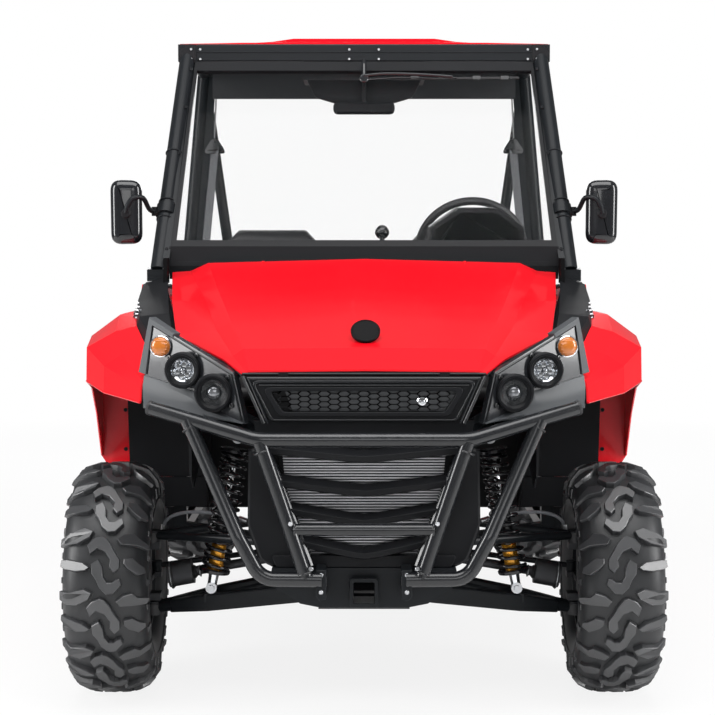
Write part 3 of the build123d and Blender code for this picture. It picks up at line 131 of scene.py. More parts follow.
def make_finishes():
    """Every finish that the vehicle uses."""
    colours = bpy.context.scene.vehicle_colours
    red = tuple(colours.body_colour)
    finish("red_body", red, 0.30, coat=0.45, vary=0.03, patch=1.2, grain=350, bump=0.02, shine=0.35)
    finish("red_paint", red, 0.26, coat=0.6, vary=0.03, patch=1.5, grain=500, bump=0.015, shine=0.35)
    finish("roof_red", red, 0.60, vary=0.03, patch=1.2, grain=350, bump=0.02, shine=0.06)
    finish("satin_black", (0.010, 0.0115, 0.0135), 0.33, vary=0.15, grain=1400, bump=0.08, shine=0.17)
    finish("guard_black", (0.008, 0.009, 0.011), 0.24, coat=0.25, grain=1000, bump=0.04, shine=0.5)
    finish("gloss_black", (0.008, 0.009, 0.011), 0.16, coat=0.5, grain=600, bump=0.01, shine=0.4)
    finish("pod_black", (0.024, 0.026, 0.030), 0.24, coat=0.4, vary=0.10, grain=900, bump=0.03, shine=0.45)
    finish("moulded_black", (0.010, 0.010, 0.0115), 0.46, vary=0.2, grain=1600, bump=0.14, shine=0.17)
    finish("panel_black", (0.010, 0.0105, 0.012), 0.36, vary=0.15, grain=1800, bump=0.08, shine=0.13)
    finish("trim_grey", (0.055, 0.060, 0.066), 0.40, vary=0.10, grain=1500, bump=0.05, shine=0.4)
    finish("tyre_rubber", (0.018, 0.019, 0.021), 0.42, vary=0.30, patch=9, grain=900, bump=0.12, shine=0.5)
    finish("tread_rubber", (0.034, 0.035, 0.038), 0.36, coat=0.15, vary=0.32, patch=14, grain=700, bump=0.20,
           shine=0.8)
    finish("wheel_black", (0.016, 0.017, 0.019), 0.32, metal=0.3, coat=0.2, grain=900, bump=0.05)
    finish("cast_iron", (0.055, 0.056, 0.060), 0.55, metal=0.8, vary=0.25, patch=18, grain=500, bump=0.35)
    finish("zinc", (0.55, 0.56, 0.58), 0.30, metal=1.0, vary=0.12, patch=25, grain=900, bump=0.08)
    finish("steel", (0.42, 0.43, 0.45), 0.28, metal=1.0, vary=0.15, patch=30, grain=1200, bump=0.06)
    finish("heat_steel", (0.33, 0.29, 0.25), 0.40, metal=1.0, vary=0.35, patch=8, grain=300, bump=0.15)
    finish("fin_metal", (0.48, 0.48, 0.50), 0.38, metal=0.85, vary=0.18, patch=30, grain=900, bump=0.10)
    finish("gold_damper", tuple(colours.damper_colour), 0.28, metal=0.75, coat=0.3, vary=0.1, grain=900,
           bump=0.04)
    finish("coil_black", (0.010, 0.010, 0.012), 0.26, metal=0.2, coat=0.4, grain=900, bump=0.05)
    finish("hose_grey", (0.22, 0.23, 0.25), 0.48, vary=0.15, patch=40, grain=1500, bump=0.15)
    finish("boot_rubber", (0.018, 0.018, 0.020), 0.46, vary=0.2, grain=800, bump=0.12)
    finish("chrome", (0.82, 0.84, 0.87), 0.06, metal=1.0, vary=0.03, grain=200, bump=0.005)
    finish("vinyl", (0.014, 0.014, 0.016), 0.40, vary=0.15, patch=6, grain=420, bump=0.30, sheen=0.15)
    finish("webbing", (0.060, 0.064, 0.072), 0.62, vary=0.2, weave=260, bump=0.5, sheen=0.4)
    finish("grip_rubber", (0.018, 0.018, 0.020), 0.50, vary=0.15, grain=1300, bump=0.28)
    finish("liner_black", (0.020, 0.021, 0.024), 0.62, vary=0.2, grain=1200, bump=0.3)
    finish("grille_grey", (0.060, 0.064, 0.070), 0.42, vary=0.12, grain=900, bump=0.08)
    finish("screen_glass", (0.008, 0.010, 0.014), 0.08, coat=0.8, grain=100, bump=0.0)
    finish("clear_glass", (0.02, 0.028, 0.03), 0.03, vary=0.02, grain=50, bump=0.002, alpha=0.035)
    finish("lamp_glass", (0.03, 0.035, 0.04), 0.03, vary=0.02, grain=80, bump=0.004, alpha=0.12, coat=0.8)
    finish("amber_lens", tuple(colours.marker_colour), 0.12, vary=0.05, grain=300, bump=0.02, coat=0.8)
    finish("red_lens", (0.55, 0.010, 0.012), 0.12, vary=0.05, grain=300, bump=0.02, coat=0.8)
    finish("projector_glass", (0.30, 0.31, 0.33), 0.10, metal=0.7, vary=0.04, grain=300, bump=0.02, coat=0.8)
    finish("disc_black", (0.003, 0.003, 0.0035), 0.45, vary=0.1, grain=900, bump=0.02, shine=0.08)


SOLID_FINISHES = {
    "red_body": ("hood", "fenders"),
    "red_paint": ("door_left", "door_right", "cargo_bed", "tailgate"),
    "roof_red": ("roof_panel",),
    "satin_black": ("main_frame", "nose_frame", "tail_frame", "rops_front", "rops_rear", "wishbones",
                    "tie_rods", "rear_hitch", "front_receiver", "skid_plate"),
    "guard_black": ("brush_guard",),
    "pod_black": ("lamp_pods",),
    "moulded_black": ("dashboard", "driver_controls", "cab_tub"),
    "panel_black": ("windshield_frame", "cowl_trims", "radiator", "rear_fenders", "rockers", "front_fascia",
                    "arch_liners", "upper_grille"),
    "wheel_black": ("rim_front_left", "rim_front_right", "rim_rear_left", "rim_rear_right"),
    "cast_iron": ("driveline", "engine_block", "knuckle_left", "knuckle_right", "rear_uprights",
                  "steering_rack"),
    "heat_steel": ("muffler",),
    "grip_rubber": ("steering_wheel",),
    "liner_black": ("roof_liner",),
    "clear_glass": ("windshield_glass",),
}


def dress_solids():
    """Gives each shown solid of the frame its finish."""
    for finish_name, nodes in SOLID_FINISHES.items():
        for node in nodes:
            frame["nodes"][node].data.materials[0] = FINISH[finish_name]


# ---- shapes -------------------------------------------------------------
PLACE = {"x": lambda p, d: (d, p[0], p[1]), "y": lambda p, d: (p[0], d, p[1]),
         "z": lambda p, d: (p[0], p[1], d)}


def turns(count, start=0.0):
    """Equal steps of angle round a full turn."""
    return [start + 2 * pi * k / count for k in range(count)]


class Shell:
    """Points (mm) and faces of one piece while it is being shaped."""

    def __init__(self):
        self.points, self.faces = [], []

    def add(self, points, faces, flip=False):
        base = len(self.points)
        self.points += [tuple(p) for p in points]
        for face in faces:
            ids = [base + i for i in face]
            self.faces.append(ids[::-1] if flip else ids)
        return self

    def loft(self, rings, closed=False):
        """Skin through rings of equal length, capped unless it closes on itself."""
        n, points, faces = len(rings[0]), [p for r in rings for p in r], []
        last = len(rings) if closed else len(rings) - 1
        for i in range(last):
            a, b = i * n, (i + 1) % len(rings) * n
            faces += [(a + j, a + (j + 1) % n, b + (j + 1) % n, b + j) for j in range(n)]
        if not closed:
            faces += [tuple(range(n))[::-1], tuple(range((len(rings) - 1) * n, len(rings) * n))]
        return self.add(points, faces)

    def prism(self, outline, near, far, axis="y"):
        """Outline in the plane across an axis, pushed from near to far."""
        return self.loft([[PLACE[axis](p, depth) for p in outline] for depth in (near, far)])

    def stack(self, outline, layers, axis="y"):
        """Outline laid in layers of (place along the axis, swell), which steps its rims."""
        return self.loft([[PLACE[axis](p, depth) for p in grown(outline, swell)] for depth, swell in layers])

    def block(self, x0, x1, y0, y1, z0, z1):
        """Box between two corners."""
        return self.prism([(x0, z0), (x1, z0), (x1, z1), (x0, z1)], y0, y1)

    def tube(self, path, radius, sides=16, radii=None):
        """Round tube along a path; radii gives each point its own radius."""
        path = [Vector(p) for p in path]
        rings, side = [], None
        for i, p in enumerate(path):
            ahead = (path[min(i + 1, len(path) - 1)] - path[max(i - 1, 0)]).normalized()
            if side is None:
                side = ahead.orthogonal().normalized()
            side = (side - ahead * side.dot(ahead)).normalized()
            up = ahead.cross(side)
            r = radii[i] if radii else radius
            rings.append([p + side * (r * cos(t)) + up * (r * sin(t)) for t in turns(sides)])
        return self.loft(rings)

    def lathe(self, profile, centre, axis, sides=32):
        """Closed profile of (along, radius) turned round an axis through centre."""
        axis, centre = Vector(axis).normalized(), Vector(centre)
        side = axis.orthogonal().normalized()
        up = axis.cross(side)
        rings = []
        for t in turns(sides):
            out = side * cos(t) + up * sin(t)
            rings.append([centre + axis * a + out * r for a, r in profile])
        return self.loft(rings, closed=True)

    def disc(self, profile, centre, axis, sides=32):
        """Solid of revolution whose profile of (along, radius) starts and ends near the axis."""
        axis, centre = Vector(axis).normalized(), Vector(centre)
        side = axis.orthogonal().normalized()
        up = axis.cross(side)
        rings = [[centre + axis * a + (side * cos(t) + up * sin(t)) * max(r, 0.01) for t in turns(sides)]
                 for a, r in profile]
        return self.loft(rings)

    def moved(self, matrix):
        """Places every point by a matrix."""
        self.points = [tuple(matrix @ Vector(p)) for p in self.points]
        return self

    def both(self):
        """Adds the mirror image across the vehicle's middle."""
        points, faces = list(self.points), list(self.faces)
        return self.add([(-x, y, z) for x, y, z in points], faces, flip=True)


def mirror_of(shell):
    """The shell's mirror image across the vehicle's middle."""
    other = Shell()
    return other.add([(-x, y, z) for x, y, z in shell.points], shell.faces, flip=True)


def put(name, shell, finish_name, body=ROOT, stands_for=(), bevel=0.0, smooth=35, subdivide=0,
        segments=2):
    """Makes the object of one piece and hangs it on its body."""
    mesh = bpy.data.meshes.new(name)
    mesh.from_pydata([(x * MM, y * MM, z * MM) for x, y, z in shell.points], [], shell.faces)
    work = bmesh.new()
    work.from_mesh(mesh)
    bmesh.ops.remove_doubles(work, verts=work.verts, dist=WELD)
    bmesh.ops.recalc_face_normals(work, faces=work.faces)
    work.to_mesh(mesh)
    work.free()
    piece = bpy.data.objects.new(name, mesh)
    bpy.context.scene.collection.objects.link(piece)
    return settle(piece, finish_name, body, stands_for, bevel, smooth, subdivide, segments)


def settle(piece, finish_name, body=ROOT, stands_for=(), bevel=0.0, smooth=35, subdivide=0,
           segments=2):
    """Finish, edges, body and stand-ins of a piece whose mesh is in place."""
    mesh = piece.data
    mesh.materials.clear()
    mesh.materials.append(FINISH[finish_name])
    mesh.shade_smooth()
    mesh.set_sharp_from_angle(angle=radians(smooth))
    if bevel:
        edge = piece.modifiers.new("Rounded edges", "BEVEL")
        edge.width, edge.segments, edge.limit_method = bevel * MM, segments, "ANGLE"
        edge.angle_limit = radians(30)
    if subdivide:
        fine = piece.modifiers.new("Smooth form", "SUBSURF")
        fine.levels = fine.render_levels = subdivide
    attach(piece, body)
    if stands_for:
        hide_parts(*stands_for)
    return piece


# ---- outlines and paths -------------------------------------------------
def grown(outline, by):
    """Outline pushed outwards by a distance."""
    n, out = len(outline), []
    area = sum(outline[i][0] * outline[(i + 1) % n][1] - outline[(i + 1) % n][0] * outline[i][1]
               for i in range(n))
    turn = 1 if area > 0 else -1
    for i in range(n):
        a, b, c = (Vector(outline[(i + k) % n]) for k in (-1, 0, 1))
        u, v = (b - a).normalized(), (c - b).normalized()
        out.append(tuple(b + (Vector((u.y, -u.x)) + Vector((v.y, -v.x))).normalized() * by * turn))
    return out


def rounded(corners, radius, steps=4):
    """Outline with its corners rounded."""
    out, n = [], len(corners)
    for i in range(n):
        a, b, c = (Vector(corners[(i + k) % n]) for k in (-1, 0, 1))
        u, v = (a - b).normalized(), (c - b).normalized()
        reach = min(radius / max(0.2, abs((u.angle(v) / 2))), (a - b).length * 0.45, (c - b).length * 0.45)
        start, end = b + u * reach, b + v * reach
        for k in range(steps + 1):
            t = k / steps
            out.append(tuple(start * (1 - t) ** 2 + b * 2 * t * (1 - t) + end * t * t))
    return out


def frame_ring(shell, outer, inner, near, far):
    """Flat frame between two outlines of equal length, from near to far along Y."""
    corners = ((inner, near), (inner, far), (outer, far), (outer, near))
    shell.loft([[PLACE["y"](p, depth) for p in outline] for outline, depth in corners], closed=True)


def smooth_path(points, steps=5):
    """Catmull-Rom run through the points."""
    pts = [Vector(p) for p in points]
    pts = [pts[0] * 2 - pts[1], *pts, pts[-1] * 2 - pts[-2]]
    out = []
    for a, b, c, d in zip(pts, pts[1:], pts[2:], pts[3:]):
        for k in range(steps):
            t = k / steps
            out.append(0.5 * ((2 * b) + (c - a) * t + (2 * a - 5 * b + 4 * c - d) * t * t
                              + (3 * b - a - 3 * c + d) * t ** 3))
    return out + [pts[-2]]


def bead(shell, centre, axis, radius, wire=3.2, sides=28):
    """Weld bead or clamp round a tube."""
    ring = [(wire * cos(t), radius + wire * sin(t)) for t in turns(8)]
    shell.lathe(ring, centre, axis, sides)


# ---- patterns that repeat -----------------------------------------------
class Pattern:
    """A Geometry Nodes tree with named inputs, which ends in realised meshes with a finish."""

    def __init__(self, name, *inputs):
        self.tree = bpy.data.node_groups.new(name, "GeometryNodeTree")
        self.tree.is_modifier = True
        self.ids = {}
        face = self.tree.interface
        face.new_socket("Geometry", in_out="OUTPUT", socket_type="NodeSocketGeometry")
        face.new_socket("Geometry", in_out="INPUT", socket_type="NodeSocketGeometry")
        for label, kind, value in (*inputs, ("Finish", "Material", None)):
            socket = face.new_socket(label, in_out="INPUT", socket_type=f"NodeSocket{kind}")
            if value is not None:
                socket.default_value = value
            self.ids[label] = socket.identifier
        self.start = self.tree.nodes.new("NodeGroupInput")

    def node(self, kind, links=None, **values):
        """Adds a node; links maps its inputs to sockets, values sets the rest."""
        made = self.tree.nodes.new(kind)
        for key, value in values.items():
            if key in ("data_type", "axis", "mode", "operation", "fill_type"):
                setattr(made, key, value)
            else:
                made.inputs[key.replace("_", " ")].default_value = value
        for key, socket in (links or {}).items():
            self.tree.links.new(socket, made.inputs[key])
        return made

    def given(self, label):
        return self.start.outputs[label]

    def end(self, socket):
        """Realises the instances and sets the finish."""
        solid = self.node("GeometryNodeRealizeInstances", {"Geometry": socket})
        done = self.node("GeometryNodeSetMaterial", {"Geometry": solid.outputs[0],
                                                     "Material": self.given("Finish")})
        self.tree.links.new(done.outputs[0], self.tree.nodes.new("NodeGroupOutput").inputs[0])
        return self

    def grow(self, name, shell, finish_name, matrix=None, facing=None, merge=False, **values):
        """Runs the tree on a shell's mesh and returns the plain mesh object."""
        mesh = bpy.data.meshes.new(name)
        mesh.from_pydata([(x * MM, y * MM, z * MM) for x, y, z in shell.points], [], shell.faces)
        if facing:
            layer = mesh.attributes.new("facing", "FLOAT_VECTOR", "POINT")
            for i, way in enumerate(facing):
                layer.data[i].vector = way
        carrier = bpy.data.objects.new(name + "_seed", mesh)
        bpy.context.scene.collection.objects.link(carrier)
        run = carrier.modifiers.new("Pattern", "NODES")
        run.node_group = self.tree
        run[self.ids["Finish"]] = FINISH[finish_name]
        for label, value in values.items():
            run[self.ids[label.replace("_", " ")]] = value
        graph = bpy.context.evaluated_depsgraph_get()
        plain = bpy.data.meshes.new_from_object(carrier.evaluated_get(graph), depsgraph=graph)
        if len(plain.polygons) == 0:
            raise RuntimeError(f"pattern {name} came out empty")
        plain.name = name
        work = bmesh.new()
        work.from_mesh(plain)
        if matrix:
            bmesh.ops.transform(work, matrix=matrix, verts=work.verts)
        if merge:
            bmesh.ops.remove_doubles(work, verts=work.verts, dist=WELD)
        bmesh.ops.recalc_face_normals(work, faces=work.faces)
        work.to_mesh(plain)
        work.free()
        bpy.data.objects.remove(carrier)
        piece = bpy.data.objects.new(name, plain)
        bpy.context.scene.collection.objects.link(piece)
        return piece


PATTERNS = {}


def bolt_pattern():
    """Round or six-sided heads on points, each turned to its own facing."""
    bolts = Pattern("Fasteners", ("Sides", "Int", 6), ("Radius", "Float", 0.008), ("Height", "Float", 0.006))
    head = bolts.node("GeometryNodeMeshCylinder", {"Vertices": bolts.given("Sides"),
                                                   "Radius": bolts.given("Radius"),
                                                   "Depth": bolts.given("Height")})
    way = bolts.node("GeometryNodeInputNamedAttribute", data_type="FLOAT_VECTOR", Name="facing")
    turn = bolts.node("FunctionNodeAlignRotationToVector", {"Vector": way.outputs[0]}, axis="Z")
    spread = bolts.node("GeometryNodeInstanceOnPoints", {"Points": bolts.given("Geometry"),
                                                         "Instance": head.outputs["Mesh"],
                                                         "Rotation": turn.outputs[0]})
    return bolts.end(spread.outputs[0])


def fin_pattern():
    """A row of thin blades that may narrow from one to the next."""
    fins = Pattern("Fins", ("Count", "Int", 10), ("Step", "Vector", (0, 0, 0.01)),
                   ("Size", "Vector", (0.1, 0.01, 0.002)), ("Shrink", "Float", 0.0))
    line = fins.node("GeometryNodeMeshLine", {"Count": fins.given("Count"), "Offset": fins.given("Step")})
    blade = fins.node("GeometryNodeMeshCube", {"Size": fins.given("Size")})
    index = fins.node("GeometryNodeInputIndex")
    less = fins.node("ShaderNodeMath", {0: index.outputs[0], 1: fins.given("Shrink")}, operation="MULTIPLY")
    wide = fins.node("ShaderNodeMath", {1: less.outputs[0]}, operation="SUBTRACT")
    wide.inputs[0].default_value = 1.0
    scale = fins.node("ShaderNodeCombineXYZ", {"X": wide.outputs[0]}, Y=1.0, Z=1.0)
    row = fins.node("GeometryNodeInstanceOnPoints", {"Points": line.outputs[0], "Instance": blade.outputs[0],
                                                     "Scale": scale.outputs[0]})
    return fins.end(row.outputs[0])


def cell_pattern():
    """Walls of a honeycomb, one ring on each point."""
    cells = Pattern("Honeycomb", ("Sides", "Int", 6), ("Radius", "Float", 0.009), ("Wall", "Float", 0.002),
                    ("Depth", "Float", 0.008), ("Stretch", "Vector", (1, 1, 1)))
    ring = cells.node("GeometryNodeCurvePrimitiveCircle", {"Resolution": cells.given("Sides"),
                                                           "Radius": cells.given("Radius")})
    section = cells.node("GeometryNodeCurvePrimitiveQuadrilateral", {"Width": cells.given("Wall"),
                                                                     "Height": cells.given("Depth")})
    wall = cells.node("GeometryNodeCurveToMesh", {"Curve": ring.outputs[0],
                                                  "Profile Curve": section.outputs[0]})
    stand = cells.node("GeometryNodeTransform", {"Geometry": wall.outputs[0]}, Rotation=(pi / 2, 0, 0))
    laid = cells.node("GeometryNodeInstanceOnPoints", {"Points": cells.given("Geometry"),
                                                       "Instance": stand.outputs[0],
                                                       "Scale": cells.given("Stretch")})
    return cells.end(laid.outputs[0])


def coil_pattern():
    """A wire wound round Z."""
    coil = Pattern("Coil", ("Turns", "Float", 6.0), ("Radius", "Float", 0.04), ("Height", "Float", 0.2),
                   ("Wire", "Float", 0.006))
    helix = coil.node("GeometryNodeCurveSpiral", {"Rotations": coil.given("Turns"),
                                                  "Start Radius": coil.given("Radius"),
                                                  "End Radius": coil.given("Radius"),
                                                  "Height": coil.given("Height")}, Resolution=28)
    wire = coil.node("GeometryNodeCurvePrimitiveCircle", {"Radius": coil.given("Wire")}, Resolution=10)
    body = coil.node("GeometryNodeCurveToMesh", {"Curve": helix.outputs[0],
                                                 "Profile Curve": wire.outputs[0]})
    body.inputs["Fill Caps"].default_value = True
    return coil.end(body.outputs[0])


def ring_pattern():
    """Copies of one stretch of tread round the wheel's axle."""
    ring = Pattern("Round the axle", ("Count", "Int", 12), ("Step", "Float", 2 * pi / 12))
    spots = ring.node("GeometryNodeMeshLine", {"Count": ring.given("Count")}, Offset=(0, 0, 0))
    number = ring.node("GeometryNodeInputIndex")
    angle = ring.node("ShaderNodeMath", {0: number.outputs[0], 1: ring.given("Step")}, operation="MULTIPLY")
    spin = ring.node("ShaderNodeCombineXYZ", {"X": angle.outputs[0]})
    copies = ring.node("GeometryNodeInstanceOnPoints", {"Points": spots.outputs[0],
                                                        "Instance": ring.given("Geometry"),
                                                        "Rotation": spin.outputs[0]})
    return ring.end(copies.outputs[0])


def make_patterns():
    """The trees that place fasteners, fins, cells, coils and tread."""
    PATTERNS.update(bolts=bolt_pattern(), fins=fin_pattern(), cells=cell_pattern(),
                    coil=coil_pattern(), ring=ring_pattern())


def bolts(name, spots, radius, height, finish_name="zinc", body=ROOT, sides=6, slot=None):
    """Fasteners at (x, y, z, facing) spots, sunk a little into what they hold."""
    seeds = Shell().add([s[:3] for s in spots], [])
    ways = [Vector(s[3]).normalized() for s in spots]
    piece = PATTERNS["bolts"].grow(name, seeds, finish_name, facing=ways, Sides=sides, Radius=radius * MM,
                                   Height=height * MM)
    return settle(piece, finish_name, body, bevel=min(radius, height) * 0.18, smooth=30,
                  segments=1)


def mirrored_spots(spots):
    """The spots and their mirror images across the vehicle's middle."""
    return spots + [(-x, y, z, (-w[0], w[1], w[2])) for x, y, z, w in spots]


# ---- wheels -------------------------------------------------------------
# Outlines of the tread's blocks over one pitch: (across the tread, round the tread) in mm
HOOK_A = ((4, 0), (25, 8), (38, 25), (31, 48), (13, 33), (-8, 42), (-23, 63), (-21, 84), (-33, 98),
          (-46, 86), (-46, 63), (-31, 38), (-23, 21), (-8, 4))
HOOK_B = ((8, 63), (27, 75), (25, 100), (13, 117), (4, 138), (-13, 155), (-33, 153), (-52, 130),
          (-48, 115), (-38, 117), (-29, 125), (-15, 125), (-4, 109), (-2, 84))
SHOULDER = (
    ((26, -14), (46, -24), (84, -14), (128, -12), (140, 2), (126, 16), (92, 20), (63, 19), (34, 2)),
    ((33, 84), (50, 71), (92, 61), (116, 60), (120, 78), (100, 88), (67, 94), (42, 92)),
    ((-128, 8), (-92, 0), (-80, -12), (-56, -6), (-38, 8), (-48, 22), (-88, 22), (-120, 26), (-138, 18)),
    ((-112, 82), (-98, 74), (-80, 59), (-58, 61), (-58, 75), (-68, 88), (-92, 104), (-116, 98)),
)
# Half profile of the tyre without its blocks: (share of the half width, radius) from crown to bead
CARCASS = ((0, 309), (0.3, 308.4), (0.52, 305.5), (0.70, 299), (0.83, 289), (0.92, 275), (0.965, 257),
           (0.985, 236), (0.97, 214), (0.92, 194), (0.84, 178), (0.77, 168.5), (0.72, 162.0))
EDGE_LUGS = ((1, 40), (-1, 45), (1, 120), (-1, 128))  # side, place round the tread
FRONT_WIDTH, REAR_WIDTH = 235, 270  # the tread's outlines are drawn for the front tyre
ROLLING_RADIUS, RIM_GUARD_RADIUS = 318.0, 176
NUT_CIRCLE, BEAD_BOLT_CIRCLE = 44, 158.5
RIM_SHARE, WEB_SHARE = 0.76, 0.45  # of the tyre's width, and of the rim's
CARCASS_SIDES = 72
WHEELS = (  # name, x, y, width of the tyre
    ("front_left", 699, FRONT_AXLE_Y, FRONT_WIDTH), ("front_right", -699, FRONT_AXLE_Y, FRONT_WIDTH),
    ("rear_left", 655, REAR_AXLE_Y, REAR_WIDTH), ("rear_right", -655, REAR_AXLE_Y, REAR_WIDTH),
)


def carcass_profile(width):
    """(x, radius) of the casing's half profile."""
    return [(share * width / 2, radius) for share, radius in CARCASS]


def on_carcass(profile, across):
    """(x, radius, outward x, outward r) of a place along the profile."""
    left, sign = abs(across), (1 if across >= 0 else -1)
    for (x0, r0), (x1, r1) in zip(profile, profile[1:]):
        run = hypot(x1 - x0, r1 - r0)
        if left <= run or (x1, r1) == profile[-1]:
            share = left / run
            nx, nr = -(r1 - r0) / run, (x1 - x0) / run
            return sign * (x0 + (x1 - x0) * share), r0 + (r1 - r0) * share, sign * nx, nr
        left -= run
    return None


def tread_block(shell, outline, profile, spread, height):
    """One block: a foot in the carcass, a chamfered shoulder and its top."""
    rings = []
    for swell, lift in ((2.6, -3.0), (1.4, height * 0.55), (0.0, height - 1.2), (-1.6, height)):
        ring = []
        for across, along in grown(outline, swell):
            x, radius, nx, nr = on_carcass(profile, across * spread)
            fall = min(1.0, max(0.45, 1.35 - abs(across) / 165))
            reach = lift * fall if lift > 0 else lift
            angle = along / ROLLING_RADIUS
            r = radius + nr * reach
            ring.append((x + nx * reach, r * cos(angle), r * sin(angle)))
        rings.append(ring)
    shell.loft(rings)


def tread(name, width, centre, body, sizes):
    """Blocks of the whole tyre, repeated round its axle."""
    profile = carcass_profile(width)
    spread = width / FRONT_WIDTH
    pitch = Shell()
    for outline in (HOOK_A, HOOK_B, *SHOULDER):
        tread_block(pitch, outline, profile, spread, sizes.tread_height / MM)
    for side, along in EDGE_LUGS:
        low = 132 if side > 0 else 138
        high = low + 26
        outline = [(side * low, along - 9), (side * high, along - 7), (side * high, along + 7),
                   (side * low, along + 9)]
        tread_block(pitch, outline, profile, spread, 7.0)
    place = Matrix.Translation(Vector(centre) * MM)
    if centre[0] < 0:
        pitch = mirror_of(pitch)
    piece = PATTERNS["ring"].grow(name, pitch, "tread_rubber", matrix=place,
                                  Count=sizes.tread_pitches, Step=2 * pi / sizes.tread_pitches)
    return settle(piece, "tread_rubber", body, smooth=28)


def carcass(name, width, centre, body, node):
    """Smooth casing with its rim guard, rings and beads."""
    half = carcass_profile(width)
    outer = [(-x, r) for x, r in reversed(half[1:])] + half
    inner = [(half[-1][0] - 12, 161.2), (0, 168), (-half[-1][0] + 12, 161.2)]
    shell = Shell().lathe(outer + inner, centre, (1, 0, 0), CARCASS_SIDES)
    x, radius = on_carcass(half, RIM_GUARD_RADIUS * width / FRONT_WIDTH)[:2]
    for side in (-1, 1):
        guard = [(side * (x + 3.0 * cos(t)), radius + 4.5 * sin(t)) for t in turns(8)]
        shell.lathe(guard, centre, (1, 0, 0), CARCASS_SIDES)
    return put(name, shell, "tyre_rubber", body, stands_for=(node,), smooth=30)


def wheel_trim(name, centre, width, body, slot):
    """Lug nuts, centre cap and bead ring bolts on the outside of a wheel."""
    x, y, z = centre
    side = 1 if x > 0 else -1
    rim_half = RIM_SHARE * width / 2
    web = WEB_SHARE * rim_half

    def round_axle(out, radius, angles):
        return [(x + side * out, y + radius * cos(t), z + radius * sin(t), (side, 0, 0)) for t in angles]

    bolts(f"lug_nuts_{name}", round_axle(web + 17, NUT_CIRCLE, turns(4, pi / 4)), 9.5, 20, "zinc", body,
          slot=slot)
    cap = Shell().disc([(side * a, r) for a, r in ((0, 0), (0, 30), (10, 30), (14, 26), (15, 0))],
                       (x + side * (web + 31), y, z), (1, 0, 0), 28)
    put(f"hub_cap_{name}", cap, "gloss_black", body, smooth=25)
    ring = Shell().lathe([(side * a, r) for a, r in ((0, 150), (7, 150), (9, 154), (9, 164), (5, 168),
                                                     (-2, 167))],
                         (x + side * (rim_half - 4), y, z), (1, 0, 0), 56)
    put(f"bead_ring_{name}", ring, "wheel_black", body, smooth=25)
    bolts(f"bead_bolts_{name}", round_axle(rim_half + 6, BEAD_BOLT_CIRCLE, turns(16)), 4.0, 6, "steel", body,
          slot=slot)


def build_wheels():
    """Casing, tread and trim of all four wheels."""
    for name, x, y, width in WHEELS:
        centre, body = (x, y, AXLE_Z), f"wheel_{name}"
        carcass(f"tyre_casing_{name}", width, centre, body, f"tyre_{name}")
        tread(f"tyre_tread_{name}", width, centre, body, bpy.context.scene.vehicle_sizes)
        wheel_trim(name, centre, width, body, f"rim_{name}")


# ---- camera, floor and lamps --------------------------------------------
EYE = (0.0, -5.83, 1.268)
EYE_PITCH = 3.77  # degrees below level
LENS, SENSOR, SHIFT = 87.4, 36.0, -0.0091
WORLD_LIGHT = 0.20
FLOOR_HALF, FLOOR_Z = 40, -0.001
# How much of the floor is plain white to the camera, from its distance to the vehicle's middle
FLOOR_FADE = (("From Min", 2.2), ("From Max", 7.0), ("To Min", 0.86), ("To Max", 1.0))
REAR_POWER = 130


def camera_switch(tree, plain, seen, share, target):
    """Shows the camera one shader and everything else another."""
    pick = tree.nodes.new("ShaderNodeMixShader")
    for socket, source in enumerate((share, plain, seen)):
        tree.links.new(source.outputs[0], pick.inputs[socket])
    tree.links.new(pick.outputs[0], tree.nodes[target].inputs["Surface"])


def build_world():
    """Dim even light that the camera sees as plain white."""
    world = bpy.data.worlds.new("Studio")
    bpy.context.scene.world = world
    world.use_nodes = True
    nodes, links = world.node_tree.nodes, world.node_tree.links
    plain, seen = nodes["Background"], nodes.new("ShaderNodeBackground")
    for shader, strength in ((plain, WORLD_LIGHT), (seen, 1.0)):
        shader.inputs["Color"].default_value = (1, 1, 1, 1)
        shader.inputs["Strength"].default_value = strength
    rays = nodes.new("ShaderNodeLightPath")
    first = nodes.new("ShaderNodeMath")
    first.operation = "MAXIMUM"
    links.new(rays.outputs["Is Camera Ray"], first.inputs[0])
    links.new(rays.outputs["Is Transmission Ray"], first.inputs[1])
    camera_switch(world.node_tree, plain, seen, first, "World Output")


